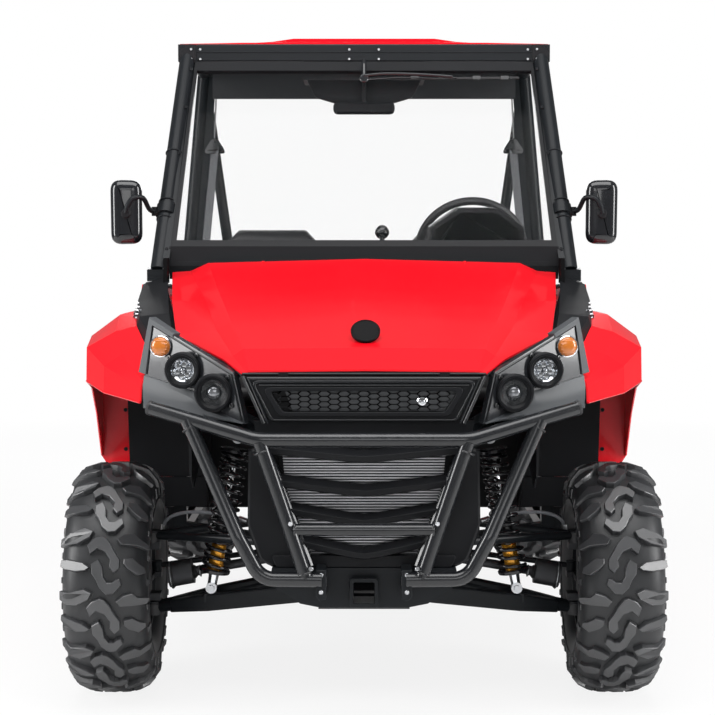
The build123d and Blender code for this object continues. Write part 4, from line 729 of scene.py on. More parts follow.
def build_floor():
    """Pale floor that fades to white away from the vehicle and keeps its shadow."""
    paint = bpy.data.materials.new("studio_floor")
    paint.use_nodes = True
    nodes, links = paint.node_tree.nodes, paint.node_tree.links
    diffuse = nodes.new("ShaderNodeBsdfDiffuse")
    diffuse.inputs["Color"].default_value = (0.86, 0.86, 0.86, 1)
    glow = nodes.new("ShaderNodeEmission")
    glow.inputs["Strength"].default_value = 1.0
    rays = nodes.new("ShaderNodeLightPath")
    coords = nodes.new("ShaderNodeTexCoord")
    reach = nodes.new("ShaderNodeVectorMath")
    reach.operation = "LENGTH"
    links.new(coords.outputs["Object"], reach.inputs[0])
    fade = nodes.new("ShaderNodeMapRange")
    for socket, value in FLOOR_FADE:
        fade.inputs[socket].default_value = value
    links.new(reach.outputs["Value"], fade.inputs["Value"])
    share = nodes.new("ShaderNodeMath")
    share.operation = "MULTIPLY"
    links.new(fade.outputs["Result"], share.inputs[1])
    links.new(rays.outputs["Is Camera Ray"], share.inputs[0])
    camera_switch(paint.node_tree, diffuse, glow, share, "Material Output")
    mesh = bpy.data.meshes.new("floor")
    corners = ((-FLOOR_HALF, -FLOOR_HALF), (FLOOR_HALF, -FLOOR_HALF), (FLOOR_HALF, FLOOR_HALF),
               (-FLOOR_HALF, FLOOR_HALF))
    mesh.from_pydata([(x, y, FLOOR_Z) for x, y in corners], [], [(0, 1, 2, 3)])
    mesh.materials.append(paint)
    floor = bpy.data.objects.new("floor", mesh)
    bpy.context.scene.collection.objects.link(floor)


def build_lights():
    """Five soft panels: overhead, both sides, over the camera and behind."""
    light = bpy.context.scene.studio_light
    for name, place, aim, size, power in (
            ("lamp_top", (0.0, -2.2, 4.6), (0, -0.5, 0.8), (4.5, 3.0), light.top_power),
            ("lamp_left", (4.4, -2.6, 2.2), (0, -0.6, 0.8), (1.2, 3.2), light.side_power),
            ("lamp_right", (-4.4, -2.6, 2.2), (0, -0.6, 0.8), (1.2, 3.2), light.side_power),
            ("lamp_front", (0.0, -6.8, 2.6), (0, -0.9, 0.7), (3.4, 1.6), light.front_power),
            ("lamp_rear", (0.0, 5.0, 3.0), (0, 0.6, 0.9), (4.0, 2.4), REAR_POWER)):
        panel = bpy.data.lights.new(name, "AREA")
        panel.shape, panel.size, panel.size_y, panel.energy = "RECTANGLE", *size, power
        lamp = bpy.data.objects.new(name, panel)
        lamp.location = place
        lamp.rotation_euler = (Vector(aim) - Vector(place)).to_track_quat("-Z", "Y").to_euler()
        bpy.context.scene.collection.objects.link(lamp)


def build_camera():
    """Camera ahead of the vehicle, a little over its hood's height."""
    camera = bpy.data.cameras.new("view")
    camera.lens, camera.sensor_width, camera.shift_x = LENS, SENSOR, SHIFT
    holder = bpy.data.objects.new("view", camera)
    holder.location = EYE
    holder.rotation_euler = (radians(90 - EYE_PITCH), 0, 0)
    bpy.context.scene.collection.objects.link(holder)
    bpy.context.scene.camera = holder


# ---- nose: lamps, grille and guard --------------------------------------
LAMP_ORIGIN = Vector((339, -1350, 935))
LAMP_ALONG = Vector((0.85, 0.527, 0)).normalized()
LAMP_FACING = Vector((0.527, -0.85, 0)).normalized()
LAMP_UP = Vector((0, 0, 1))
LAMP_AHEAD = Vector((0.10, -0.99, 0.0)).normalized()


def on_pod(out, up, proud=0.0):
    """A place on the left lamp pod, measured along it, up it and out of its face."""
    return LAMP_ORIGIN + LAMP_ALONG * out + LAMP_UP * up + LAMP_FACING * proud


def pod_plate(shell, outline, low, high, shrink=2.0):
    """Plate on the pod with a chamfered rim."""
    tight = grown(outline, -shrink)
    shell.loft([[on_pod(a, b, low) for a, b in outline], [on_pod(a, b, high - shrink) for a, b in outline],
                [on_pod(a, b, high) for a, b in tight]])


def lamp_unit(place, radius, bezel, glass):
    """Round housing and lens of one lamp, square to the road ahead."""
    ring = [(-74, radius), (7, radius), (11, radius - 3), (11, radius - 7), (6, radius - 9),
            (1, radius - 16), (-15, radius - 18), (-74, radius - 6)]
    bezel.lathe(ring, place, LAMP_AHEAD, 48)
    for depth in (-8, 0):
        bezel.lathe([(depth - 1.5, radius), (depth, radius + 1.6), (depth + 1.5, radius)], place, LAMP_AHEAD,
                    48)
    dome = [(5.5, 0), (5.2, (radius - 14) * 0.4), (4.2, (radius - 14) * 0.75), (2.0, radius - 14),
            (0.5, radius - 13.5), (0.5, 0)]
    glass.disc(dome, place, LAMP_AHEAD, 40)


HIGH_LAMP, LOW_LAMP = (158, 0, 47), (59, -55, 49)  # along the pod, up it, radius
LAMP_PROUD = 24


def build_headlamps():
    """Two round lamps a side with their bezels, lenses and screwed tabs."""
    bezel, bowl, glass, tabs, screws = Shell(), Shell(), Shell(), Shell(), []
    across = LAMP_AHEAD.cross(LAMP_UP)
    high, low = (on_pod(*lamp[:2]) + LAMP_AHEAD * LAMP_PROUD for lamp in (HIGH_LAMP, LOW_LAMP))
    for (out, up, radius), place in ((HIGH_LAMP, high), (LOW_LAMP, low)):
        lamp_unit(place, radius, bezel, glass)
        for angle in turns(4, radians(38)):
            spot = (out + (radius + 8) * cos(angle) / 0.85, up + (radius + 3) * sin(angle))
            corners = [(spot[0] + 8.5 * cos(t), spot[1] + 7.5 * sin(t)) for t in turns(10)]
            pod_plate(tabs, corners, -2, 5, 1)
            screws.append((*on_pod(*spot, 6), tuple(LAMP_FACING)))
    inner = HIGH_LAMP[2] - 16
    facets = [(1, inner), (-2, inner - 1), (-9, inner - 9), (-13, inner - 17), (-15, 0), (-18, 0),
              (-18, inner + 2), (1, inner + 2)]
    bowl.lathe(facets, high, LAMP_AHEAD, 18)
    for angle in turns(6, 0.3):
        spot = high + across * (15 * cos(angle)) + LAMP_UP * (15 * sin(angle)) - LAMP_AHEAD * 8
        bowl.disc([(-7, 0), (-7, 7.5), (2, 8.5), (5, 6.5), (6, 0)], spot, LAMP_AHEAD, 10)
    bowl.disc([(-10, 0), (-10, 5), (-3, 5.5), (0, 3), (0.5, 0)], high, LAMP_AHEAD, 16)
    eye = Shell().disc([(-14, 0), (-14, 19), (-6, 18.5), (-2, 15), (1, 9), (2.2, 4), (2.4, 0)], low,
                       LAMP_AHEAD, 32)
    collar = Shell().lathe([(-16, 34), (-1, 34), (-7, 20), (-16, 20)], low, LAMP_AHEAD, 32)
    put("lamp_bezels", bezel.both(), "panel_black", stands_for=("headlamps",), smooth=30)
    put("lamp_reflectors", bowl.both(), "chrome", smooth=20)
    put("lamp_projectors", eye.both(), "projector_glass", smooth=40)
    put("lamp_collars", collar.both(), "wheel_black", smooth=30)
    put("lamp_lenses", glass.both(), "lamp_glass", smooth=60)
    put("lamp_tabs", tabs.both(), "gloss_black", smooth=30)
    bolts("lamp_screws", mirrored_spots(screws), 3.0, 2.5, "wheel_black", sides=12, slot="lamp_pods")


def build_indicators():
    """Domed amber lens with its rim and ribs on each pod."""
    across = LAMP_AHEAD.cross(LAMP_UP)
    signal = on_pod(233, 60) + LAMP_AHEAD * 14
    lens = Shell().disc([(-34, 0), (-34, 25), (3, 25), (7, 21), (9.5, 12), (10.2, 0)], signal, LAMP_AHEAD,
                        36)
    put("indicator_lenses", lens.both(), "amber_lens", stands_for=("indicators",),
        smooth=50)
    rim = Shell().lathe([(-34, 24.5), (4, 24.5), (5.5, 26.5), (4, 28.5), (-34, 28.5)], signal, LAMP_AHEAD,
                        36)
    put("indicator_rims", rim.both(), "chrome", smooth=40)
    facets = Shell()
    for k in range(5):
        up = 8 * k - 16
        half = (25 ** 2 - up ** 2) ** 0.5 - 5
        middle = signal + LAMP_UP * up + LAMP_AHEAD * 7.6
        facets.tube([middle - across * half, middle + across * half], 1.2, 6)
    put("indicator_ribs", facets.both(), "amber_lens", smooth=30)


def build_pod_trim():
    """Lower band, outer cheek and round edge of each pod."""
    band = Shell()
    ridge = [(291, -19, -108), (124, -55, -121), (91, -90, -123.5), (-34, -131, -132.5)]
    rings = []
    for out, top, low in ridge:
        mid = (top + low) / 2
        rings.append([on_pod(out, *spot) for spot in ((top, -1), (top - 1, 4), (mid + (top - mid) * 0.4, 10),
                                                      (mid - (mid - low) * 0.4, 10), (low + 1, 3),
                                                      (low, -1))])
    band.loft(rings)
    put("lamp_lower_trim", band.both(), "trim_grey", bevel=1.2, smooth=30)
    cheek = Shell()
    pod_plate(cheek, [(287, -17), (311, -12), (273, 136), (190, 94), (196, 83), (263, 115)], -26, 3, 1)
    put("lamp_pod_cheeks", cheek.both(), "trim_grey", smooth=30)
    rim_path = [on_pod(*p, 1.2) for p in ((-27, -124), (4, -6), (262, 114), (285, -16))]
    edge = Shell().tube(rim_path, 2.6, 8)
    put("lamp_pod_edges", edge.both(), "gloss_black", smooth=40)


def grille_outline(top_half, top, foot_half, foot, radius):
    """Upper grille's outline, wider at the top than at the foot."""
    return rounded([(-top_half, top), (top_half, top), (foot_half, foot), (-foot_half, foot)], radius)


def build_upper_grille():
    """Rims and ridges of the upper opening."""
    for name, outer, inner, near, far, finish_name, bevel in (
            ("grille_surround", (262, 899, 220, 824, 12), (243, 889, 208, 835, 8), -1374, -1391,
             "panel_black", 2.0),
            ("grille_outer_ridge", (292, 916, 240, 812, 12), (284, 910, 235, 816, 10), -1383, -1390,
             "gloss_black", 1.2)):
        trim = Shell()
        frame_ring(trim, grille_outline(*outer), grille_outline(*inner), near, far)
        put(name, trim, finish_name, bevel=bevel, smooth=30)
    bars = Shell()
    bars.tube([(-300, -1384, 921), (300, -1384, 921)], 4.0, 10)
    bars.tube([(-270, -1387, 905), (270, -1387, 905)], 2.6, 8)
    for side in (-1, 1):
        bars.tube([(side * 312, -1384, 927), (side * 257, -1397, 806)], 4.5, 10)
        bars.tube([(side * 297, -1386, 922), (side * 247, -1396, 806)], 3.0, 8)
    put("grille_ridges", bars, "gloss_black", smooth=40)


def build_honeycomb():
    """Honeycomb in the upper opening with the button on it."""
    plate = Shell().prism([(-204, 888), (242, 888), (207, 836), (-184, 836)], -1373.5, -1371)
    put("honeycomb_plate", plate, "grille_grey", smooth=30)
    spots, column, row = [], 25.6, 13.6
    for i in range(-9, 10):
        for j in range(-1, 5):
            x, z = i * column, 840 + j * row + (row / 2 if i % 2 else 0)
            half = 243 - (889 - z) * 35 / 54  # the opening narrows from 243 to 208 over its height of 54
            if 834 < z < 891 and abs(x) < half - 8:
                spots.append((x, -1375, z))
    # The walls are gloss black over the grey plate: their dark is painted shade, standing in for the shadow
    # lines between the cells.
    mesh = PATTERNS["cells"].grow("honeycomb_walls", Shell().add(spots, []), "gloss_black", Sides=6,
                                  Radius=7.9 * MM, Wall=1.9 * MM, Depth=7 * MM, Stretch=(2.14, 1.0, 1.0))
    settle(mesh, "gloss_black", smooth=30)
    button = Shell().disc([(0, 0), (0, 13.5), (5, 13.5), (7, 11), (7.5, 6), (9, 5), (9.5, 0)],
                          (150, -1374, 862), (0, -1, 0), 28)
    put("grille_button", button, "chrome", smooth=30)


GRILLE_SLATS = ((745, 721), (659, 633), (587, 555), (503, 469))


def grille_half(z):
    """Half width of the lower opening at a height."""
    return 146 + (z - 430.3) / (745 - 430.3) * (262 - 146)


def build_lower_grille():
    """Bowed louvres of the lower opening and the rails at their ends."""
    louvres = Shell()
    for end_z, mid_z in GRILLE_SLATS:
        half = grille_half(end_z) - 4
        drop = end_z - mid_z
        for side in (-1, 1):
            rings = []
            for share in (0.0, 0.14, 0.3, 0.6, 0.9, 1.0):
                z = mid_z + drop * (max(0.0, share - 0.06) / 0.94) ** 1.05
                x = side * share * half
                rings.append([(x, -1397, z), (x, -1368, z + 15), (x, -1368, z - 4), (x, -1382, z - 19),
                              (x, -1394, z - 15)])
            louvres.loft(rings)
    side_rails = Shell()
    for side in (-1, 1):
        rings = []
        for z in (745, 640, 540, 430.3):
            x = grille_half(z)
            rings.append([(side * (x - inset), y, z) for inset, y in
                          ((22, -1368), (20, -1392), (10, -1399), (0, -1396), (0, -1368))])
        side_rails.loft(rings)
    put("grille_louvres", louvres, "panel_black", stands_for=("grille_slats",),
        bevel=1.5, smooth=30)
    put("grille_side_rails", side_rails, "gloss_black", bevel=2.5, smooth=30)


def build_radiator_fins():
    """Fins that narrow downwards behind the louvres, and the cheeks beside them."""
    count, low, high = 41, 443, 733
    fins = PATTERNS["fins"].grow(
        "radiator_fins", Shell(), "fin_metal", matrix=Matrix.Translation((0, -1354 * MM, high * MM)),
        Count=count, Step=(0, 0, -(high - low) / (count - 1) * MM), Size=(0.424, 0.010, 0.0034),
        Shrink=0.115 / (count - 1))
    settle(fins, "fin_metal", smooth=30)

    shields = Shell()
    outline = rounded([(156, 432), (264, 738), (298, 738), (302, 540), (268, 446), (240, 430)], 16, 5)
    shields.stack(outline, ((-1363, 0), (-1370, 0), (-1376, -6)))
    put("grille_cheeks", shields.both(), "panel_black", smooth=35)


def build_guard():
    """End caps, welds, brackets and bolts of the guard."""
    caps, welds = Shell(), Shell()
    end, inward = Vector((557, -1330, 840)), Vector((-288, -125, -70)).normalized()
    caps.disc([(0, 0), (0, 17), (-3, 19.4), (4, 19.8), (6, 18.5), (6, 0)], end, inward, 28)
    put("guard_end_caps", caps.both(), "grip_rubber", smooth=40)
    for start, other, along in (((453, -1380, 803), (318, -1462, 520), 14),
                                ((266, -1456, 752), (188, -1465, 542), 14),
                                ((190, -1465, 542), (-190, -1465, 542), 14),
                                ((147, -1470, 420), (188, -1465, 542), 12)):
        way = Vector(other) - Vector(start)
        bead(welds, Vector(start) + way.normalized() * along, way, 19)
    put("guard_welds", welds.both(), "guard_black", smooth=50)
    plates = Shell()
    plates.prism([(96, 440), (122, 440), (122, 372), (112, 360), (96, 366)], -1472, -1390.3)
    put("guard_brackets", plates.both(), "satin_black", bevel=1.5, smooth=30)
    spots = [(109, -1474, 384, (0, -1, 0)), (109, -1474, 428, (0, -1, 0)),
             (134, -1487, 446, (0.3, -1, 0.4)), (186, -1484, 560, (0, -1, 0.2))]
    bolts("guard_bolts", mirrored_spots(spots), 6.5, 9, "zinc", slot="brush_guard")


def build_receiver():
    """Collar round the front receiver and the crossbar over it."""
    rim = Shell()
    frame_ring(rim, rounded([(-37, 408), (37, 408), (37, 334), (-37, 334)], 6),
               rounded([(-27.5, 398.5), (27.5, 398.5), (27.5, 343.5), (-27.5, 343.5)], 4), -1410, -1422)
    put("receiver_collar", rim, "satin_black", bevel=1.5, smooth=30)
    bar = Shell().prism(rounded([(-240, 462), (240, 462), (226, 430), (-226, 430)], 6), -1372, -1384)
    put("nose_crossbar", bar, "panel_black", bevel=2.0, smooth=30)


def build_hood():
    """Round disc with its boss and the seals under the hood's edges."""
    facing = Vector((0, -0.71, 0.70)).normalized()
    centre = (4, -1226, 1034)
    disc = Shell().disc([(-5, 0), (-5, 37), (-3, 39), (3, 39.5), (5, 38), (5.5, 35), (4.2, 33.5), (4.2, 0)],
                        centre, facing, 48)
    put("hood_disc", disc, "disc_black", "hood", smooth=30)
    boss = Shell().disc([(-36, 0), (-36, 28), (-4.5, 28), (-4.5, 0)], centre, facing, 32)
    put("hood_disc_boss", boss, "red_body", "hood", smooth=30)
    seal = Shell()
    edge = [(316, -1371, 934), (352, -1290, 957), (430, -1190, 990), (511, -1100, 1016), (544, -900, 1100),
            (571, -645, 1177)]
    seal.tube([(x - 2, y, z - 7) for x, y, z in edge], 3.2, 8)
    put("hood_edge_seal", seal.both(), "boot_rubber", "hood", smooth=50)
    lip = Shell().tube([(-314, -1371, 932), (314, -1371, 932)], 3.2, 8)
    put("hood_front_seal", lip, "boot_rubber", "hood", smooth=50)


def build_fenders():
    """Rivets and rolled lips of the fenders."""
    spots = [(x, -553, z, (0, -1, 0))
             for x, heights in ((728, (640, 760, 880)), (694, (860, 700, 560))) for z in heights]
    bolts("fender_rivets", mirrored_spots(spots), 6, 4, "moulded_black", sides=14, slot="fenders")
    rim = Shell()
    rim.tube([(600, -1195, 842), (716, -1060, 858), (781, -950, 880), (790, -800, 850), (798, -660, 760),
              (800, -556, 622)], 3.6, 8)
    put("fender_lips", rim.both(), "red_body", smooth=50)


def build_cowl():
    """Vent slats of the cowl beside the hood, and near-black blocks at its ends whose dark is painted shade.
    """
    slats = Shell()
    for step in range(9):
        z = 1096 - 11 * step
        x = 640 - 1.2 * step
        slats.loft([[(x, -892, z), (x + 17, -880, z + 3), (x + 17, -880, z + 7), (x, -892, z + 4)],
                    [(x, -884, z), (x + 17, -872, z + 3), (x + 17, -872, z + 7), (x, -884, z + 4)]])
    put("cowl_vent_slats", slats.both(), "fin_metal", smooth=30)
    # Near-black matte blocks fill the gaps at the cowl's ends: their colour is painted shade of those gaps.
    ends = Shell().block(580, 592, -705, -650, 1150, 1224)
    put("cowl_end_shade_blocks", ends.both(), "disc_black", smooth=30)


# ---- suspension and drive -----------------------------------------------
DAMPERS = (  # name, foot, head
    ("front", (429, -998, 302), (352, -998, 725)),
    ("rear", (405, 1098, 302), (320, 1098, 648)),
)


def build_dampers():
    """Bodies, rods, spring seats and eyes; profiles run from foot to head as (along, radius)."""
    gold, dark, rods, eyes = Shell(), Shell(), Shell(), Shell()
    for _name, foot, head in DAMPERS:
        foot, head = Vector(foot), Vector(head)
        along, length = (head - foot).normalized(), (head - foot).length
        gold.disc([(46, 0), (46, 17), (50, 21), (124, 21), (128, 18), (128, 0)], foot, along, 28)
        dark.disc([(126, 0), (126, 19), (215, 19), (218, 0)], foot, along, 28)
        dark.disc([(44, 0), (44, 42), (48, 44), (53, 44), (56, 40), (56, 0)], foot, along, 32)
        dark.disc([(length - 44, 0), (length - 44, 38), (length - 40, 44), (length - 33, 44),
                   (length - 30, 30), (length - 30, 0)], foot, along, 32)
        rods.disc([(212, 0), (212, 8.5), (length - 30, 8.5), (length - 30, 0)], foot, along, 20)
        rods.disc([(6, 0), (6, 13), (46, 15), (46, 0)], foot, along, 20)
        dark.disc([(length - 82, 0), (length - 82, 16), (length - 46, 26), (length - 42, 26),
                   (length - 42, 0)], foot, along, 24)
        for spot in (foot, head):
            eyes.lathe([(-15, 15.5), (15, 15.5), (15, 9), (-15, 9)], spot, (0, 1, 0), 28)
            eyes.disc([(-20, 0), (-20, 9), (-16, 9), (-16, 7), (16, 7), (16, 9), (20, 9), (20, 0)], spot,
                      (0, 1, 0), 6)
        for step in range(3):
            bead(gold, foot + along * (66 + 22 * step), along, 21, 2.4, 28)
    put("damper_bodies", gold.both(), "gold_damper", stands_for=("dampers",), smooth=30)
    put("damper_seats", dark.both(), "coil_black", smooth=30)
    put("damper_rods", rods.both(), "chrome", smooth=30)
    put("damper_eyes", eyes.both(), "zinc", smooth=30)


def build_springs():
    """Coil round each damper, between its two seats."""
    sizes = bpy.context.scene.vehicle_sizes
    for name, foot, head in DAMPERS:
        foot, head = Vector(foot), Vector(head)
        along, length = (head - foot).normalized(), (head - foot).length
        tall = (length - 104) * MM
        for side in (-1, 1):
            way = Vector((side * along.x, along.y, along.z))
            start = Vector((side * foot.x, foot.y, foot.z)) + way * 60
            turn = Vector((0, 0, 1)).rotation_difference(way).to_matrix().to_4x4()
            place = Matrix.Translation(start * MM) @ turn
            label = f"coil_{name}_{'left' if side > 0 else 'right'}"
            coil = PATTERNS["coil"].grow(label, Shell(), "coil_black", matrix=place,
                                         Turns=tall / sizes.coil_gap, Radius=35.5 * MM, Height=tall,
                                         Wire=sizes.coil_wire)
            settle(coil, "coil_black", smooth=50)
    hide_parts("springs")


def build_arms():
    """Boxes, bushes and bolts of the wishbones."""
    plates, bushes, spots = Shell(), Shell(), []
    for axle_y, tip in ((FRONT_AXLE_Y, 600), (REAR_AXLE_Y, 560)):
        for side in (-1, 1):
            y = axle_y + side * 120
            near, far = Vector((180, y, 300)), Vector((tip - 52, axle_y + side * 14, 243))
            rings = []
            for share in (0.0, 0.35, 0.7, 1.0):
                p = near.lerp(far, share)
                tall = 24 if share < 0.9 else 17
                rings.append([(p.x, p.y - 18, p.z - tall), (p.x, p.y + 18, p.z - tall),
                              (p.x, p.y + 18, p.z + tall), (p.x, p.y - 18, p.z + tall)])
            plates.loft(rings)
            for x, yy, z, r in ((163, y, 306, 24.5), (262, axle_y + side * 192, 456, 19)):
                bushes.lathe([(-24.5, r), (-16, r), (-16, r - 8), (-24.5, r - 8)], (x, yy, z), (0, 1, 0), 24)
                bushes.lathe([(16, r), (24.5, r), (24.5, r - 8), (16, r - 8)], (x, yy, z), (0, 1, 0), 24)
                spots.append((x, yy - 35, z, (0, -1, 0)))
        for z, r in ((236, 27.5), (442, 23.5)):
            bushes.lathe([(-19.5, r - 3), (-19.5, r), (-12, r + 1), (10, r + 1), (15, r - 3)],
                         (tip, axle_y, z), (0, 0, 1), 28)
    put("arm_boxes", plates.both(), "satin_black", bevel=4, smooth=30)
    put("arm_bushes", bushes.both(), "grip_rubber", smooth=30)
    bolts("arm_bolts", mirrored_spots(spots), 8.5, 8, "zinc", slot="wishbones")


def build_axle_boots():
    """Ribbed boots at both ends of the half shafts."""
    boots, clamps = Shell(), Shell()
    for axle_y, gear_z, outer in ((FRONT_AXLE_Y, 400, 555), (REAR_AXLE_Y, 418, 540)):
        for start, end in (((outer - 6, axle_y, 327), (outer - 92, axle_y, 340)),
                           ((176, axle_y, gear_z - 8), (240, axle_y, gear_z - 17))):
            a, b = Vector(start), Vector(end)
            run, way = (b - a).length, (b - a).normalized()
            profile = [(0, 0), (0, 38)]
            for k in range(5):
                r = 38 - k * 4.6
                profile += [(run * (k + 0.35) / 5.4, r), (run * (k + 0.85) / 5.4, r - 7.5)]
            profile += [(run, 15.5), (run, 0)]
            boots.disc(profile, a, way, 32)
            bead(clamps, a + way * 2.5, way, 38, 1.8, 32)
            bead(clamps, a + way * (run - 2), way, 15.5, 1.8, 28)
    put("axle_boots", boots.both(), "boot_rubber", smooth=25)
    put("boot_clamps", clamps.both(), "steel", smooth=50)


def build_brake_lines():
    """Short hoses at the arms."""
    lines, ends = Shell(), Shell()
    path = [(352, -930, 486), (395, -926, 494), (450, -922, 502), (505, -918, 502), (545, -915, 492),
            (566, -913, 476), (574, -912, 456)]
    lines.tube(smooth_path(path), 4.8, 10)
    ends.tube([(334, -932, 480), (356, -930, 487)], 7.5, 12)
    ends.tube([(574, -912, 466), (575, -912, 446)], 6.5, 12)
    path = [(352, 1068, 486), (420, 1072, 498), (480, 1074, 496), (520, 1076, 474), (528, 1076, 456)]
    lines.tube(smooth_path(path), 4.8, 10)
    put("brake_lines", lines.both(), "hose_grey", smooth=50)
    put("brake_line_ends", ends.both(), "zinc", smooth=30)


def build_rack_bellows():
    """Bellows that narrow outwards from the steering rack."""
    bellows = Shell()
    profile = [(0, 0), (0, 24)]
    for k in range(7):
        r = 25 - k * 1.6
        profile += [(8 + k * 12, r), (14 + k * 12, r - 6)]
    profile += [(96, 11), (96, 0)]
    bellows.disc(profile, (215, -845, 377), Vector((375, 0, -42)).normalized(), 28)
    put("rack_bellows", bellows.both(), "boot_rubber", smooth=25)


# ---- cab ----------------------------------------------------------------
PILLAR_FOOT = Vector((617, -620, 1185))
PILLAR_HEAD = Vector((575, -100, 1889))


def pillar_point(z):
    """Centre of the left front pillar at a height."""
    return PILLAR_FOOT.lerp(PILLAR_HEAD, (z - PILLAR_FOOT.z) / (PILLAR_HEAD.z - PILLAR_FOOT.z))


def build_pillar_covers():
    """Flat covers between the front pillars and the windshield's frame."""
    low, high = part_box("windshield_frame")
    covers, rings = Shell(), []
    for z in (1216, 1400, 1600, 1800, 1856):
        p = pillar_point(z)
        share = (z - low[2] / MM) / ((high[2] - low[2]) / MM)
        y = low[1] / MM + share * (high[1] - low[1]) / MM
        x = 582 - 32 * share
        rings.append([(p.x + 2, p.y - 24.5, z), (x - 1, y - 1, z), (x - 1, y + 5, z),
                      (p.x + 2, p.y - 18, z)])
    covers.loft(rings)
    put("pillar_covers", covers.both(), "satin_black", bevel=1.5, smooth=30)


def build_header():
    """End caps, face, ridge and bolts of the beam over the windshield."""
    outline = rounded([(548, 1856), (548, 1914), (578, 1914), (606, 1894), (600, 1856)], 10, 5)
    caps = Shell().stack(outline, ((-64, 0), (-130, 0), (-134, -4)))
    put("header_caps", caps.both(), "moulded_black", smooth=35)
    face = Shell().prism(rounded([(-548, 1861), (548, 1861), (548, 1911), (-548, 1911)], 4), -122, -126)
    put("header_face", face, "satin_black", bevel=1.2, smooth=30)
    spots = [(x, y, z, (0, -1, 0)) for z in (1897, 1866) for x, y in ((48, -127), (533, -127), (562, -135))]
    bolts("header_bolts", mirrored_spots(spots), 4.6, 5, "zinc", slot="rops_front")
    ridge = Shell().tube([(-546, -127, 1888), (546, -127, 1888)], 1.6, 8)
    put("header_ridge", ridge, "satin_black", smooth=50)


def build_roof_crown():
    """Raised middle of the roof; its rings are (y, height at the edges, height in the middle)."""
    crown_rings = ((-72, 1920, 1928), (-64, 1922, 1939), (0, 1925, 1946), (100, 1929, 1957),
                   (170, 1932, 1961), (415, 1934, 1961), (450, 1934, 1953))
    crown = Shell().loft([[(350, y, eave), (232, y, top), (-232, y, top), (-350, y, eave)]
                          for y, eave, top in crown_rings])
    put("roof_crown", crown, "roof_red", smooth=25)


def build_pillar_fittings():
    """Rivets and straps up the front pillars, and the bolts at the cage's feet."""
    spots = [(p.x - 20, p.y - 26, p.z, (-0.1, -1, 0.2))
             for p in map(pillar_point, (1250, 1390, 1550, 1700, 1830))]
    bolts("pillar_rivets", mirrored_spots(spots), 5.5, 5, "gloss_black", sides=14, slot="rops_front")
    straps = Shell()
    for z in (1338, 1392, 1547):
        bead(straps, pillar_point(z), PILLAR_HEAD - PILLAR_FOOT, 25, 2.6, 28)
    put("pillar_straps", straps.both(), "satin_black", smooth=50)
    spots = [(x + dx, y + dy, 1191, (0, 0, 1)) for x, y in ((617, -620), (645, 560))
             for dx in (-22, 22) for dy in (-22, 22)]
    bolts("flange_bolts", mirrored_spots(spots), 6.5, 7, "zinc", slot="rops_front")


def build_windshield():
    """Wiper, its blade and the seal at the glass's foot."""
    parts, blade = Shell(), Shell()
    parts.disc([(0, 0), (0, 15), (6, 15), (9, 11), (9, 0)], (0, -190, 1797), (0, -1, 0.2), 28)
    parts.tube(smooth_path([(0, -194, 1806), (70, -192, 1812), (180, -190, 1810), (285, -189, 1803)]), 5.5,
               10)
    parts.tube(smooth_path([(0, -196, 1792), (120, -192, 1800), (240, -190, 1797), (300, -189, 1800)]), 2.6,
               8)
    parts.tube([(0, -150, 1858), (0, -176, 1842), (0, -190, 1800)], 8, 14)
    blade.prism([(96, 1800), (500, 1804), (500, 1797), (96, 1793)], -187, -181)
    for x in (150, 240, 350, 440):
        parts.block(x, x + 26, -190, -181, 1795, 1806)
    put("wiper_arm", parts, "gloss_black", stands_for=("wiper",), bevel=0.8, smooth=35)
    put("wiper_blade", blade, "boot_rubber", bevel=1, smooth=30)
    strip = Shell().tube([(-560, -598, 1212), (560, -598, 1212)], 3.0, 8)
    put("cowl_seal", strip, "boot_rubber", smooth=50)


def build_mirrors():
    """Side mirrors on their bent arms."""
    heads, glass, arms, knobs = Shell(), Shell(), Shell(), Shell()
    x, y, z = pillar_point(1365)
    outline = rounded([(676, 1266), (769, 1264), (771, 1460), (677, 1458)], 26, 6)
    heads.stack(outline, [(y - back, swell) for back, swell in
                          ((26, -5), (28, 0), (46, 0), (54, -4), (60, -14), (62, -30))])
    glass.stack(outline, ((y - 27, -7), (y - 25, -7)))
    arms.tube(smooth_path([(x + 20, y, z), (x + 48, y - 14, z + 4), (672, y - 46, z + 40),
                           (700, y - 66, z + 38), (716, y - 70, z + 16), (722, y - 67, z - 6)]), 7.5, 12)
    arms.lathe([(-18, 25), (-18, 31), (18, 31), (18, 25)], (x, y, z), PILLAR_HEAD - PILLAR_FOOT, 28)
    knobs.disc([(-6, 0), (-6, 15), (3, 15), (7, 11), (8, 0)], (722, y - 63, z - 8), (0, -1, 0), 24)
    knobs.disc([(-14, 0), (-14, 11), (14, 11), (14, 0)], (x + 34, y - 2, z), (0, 0, 1), 18)
    put("mirror_heads", heads.both(), "gloss_black", stands_for=("side_mirrors",),
        smooth=40)
    put("mirror_glass", glass.both(), "chrome", smooth=30)
    put("mirror_arms", arms.both(), "satin_black", smooth=45)
    put("mirror_joints", knobs.both(), "moulded_black", smooth=35)


def build_cab_mirror():
    """Mirror that hangs inside from the header."""
    inside = rounded([(-101, 1690), (101, 1690), (101, 1731), (-101, 1731)], 16, 5)
    shell = Shell().stack(inside, ((-75, -2), (-78, 0), (-90, 0), (-97, -8)))
    shell.tube([(0, -84, 1727), (0, -83, 1780), (0, -80, 1838)], 7, 12)
    put("cab_mirror_body", shell, "moulded_black", stands_for=("interior_mirror",),
        smooth=40)
    shell = Shell().stack(inside, ((-76, -4), (-74.2, -4)))
    put("cab_mirror_glass", shell, "chrome", smooth=30)


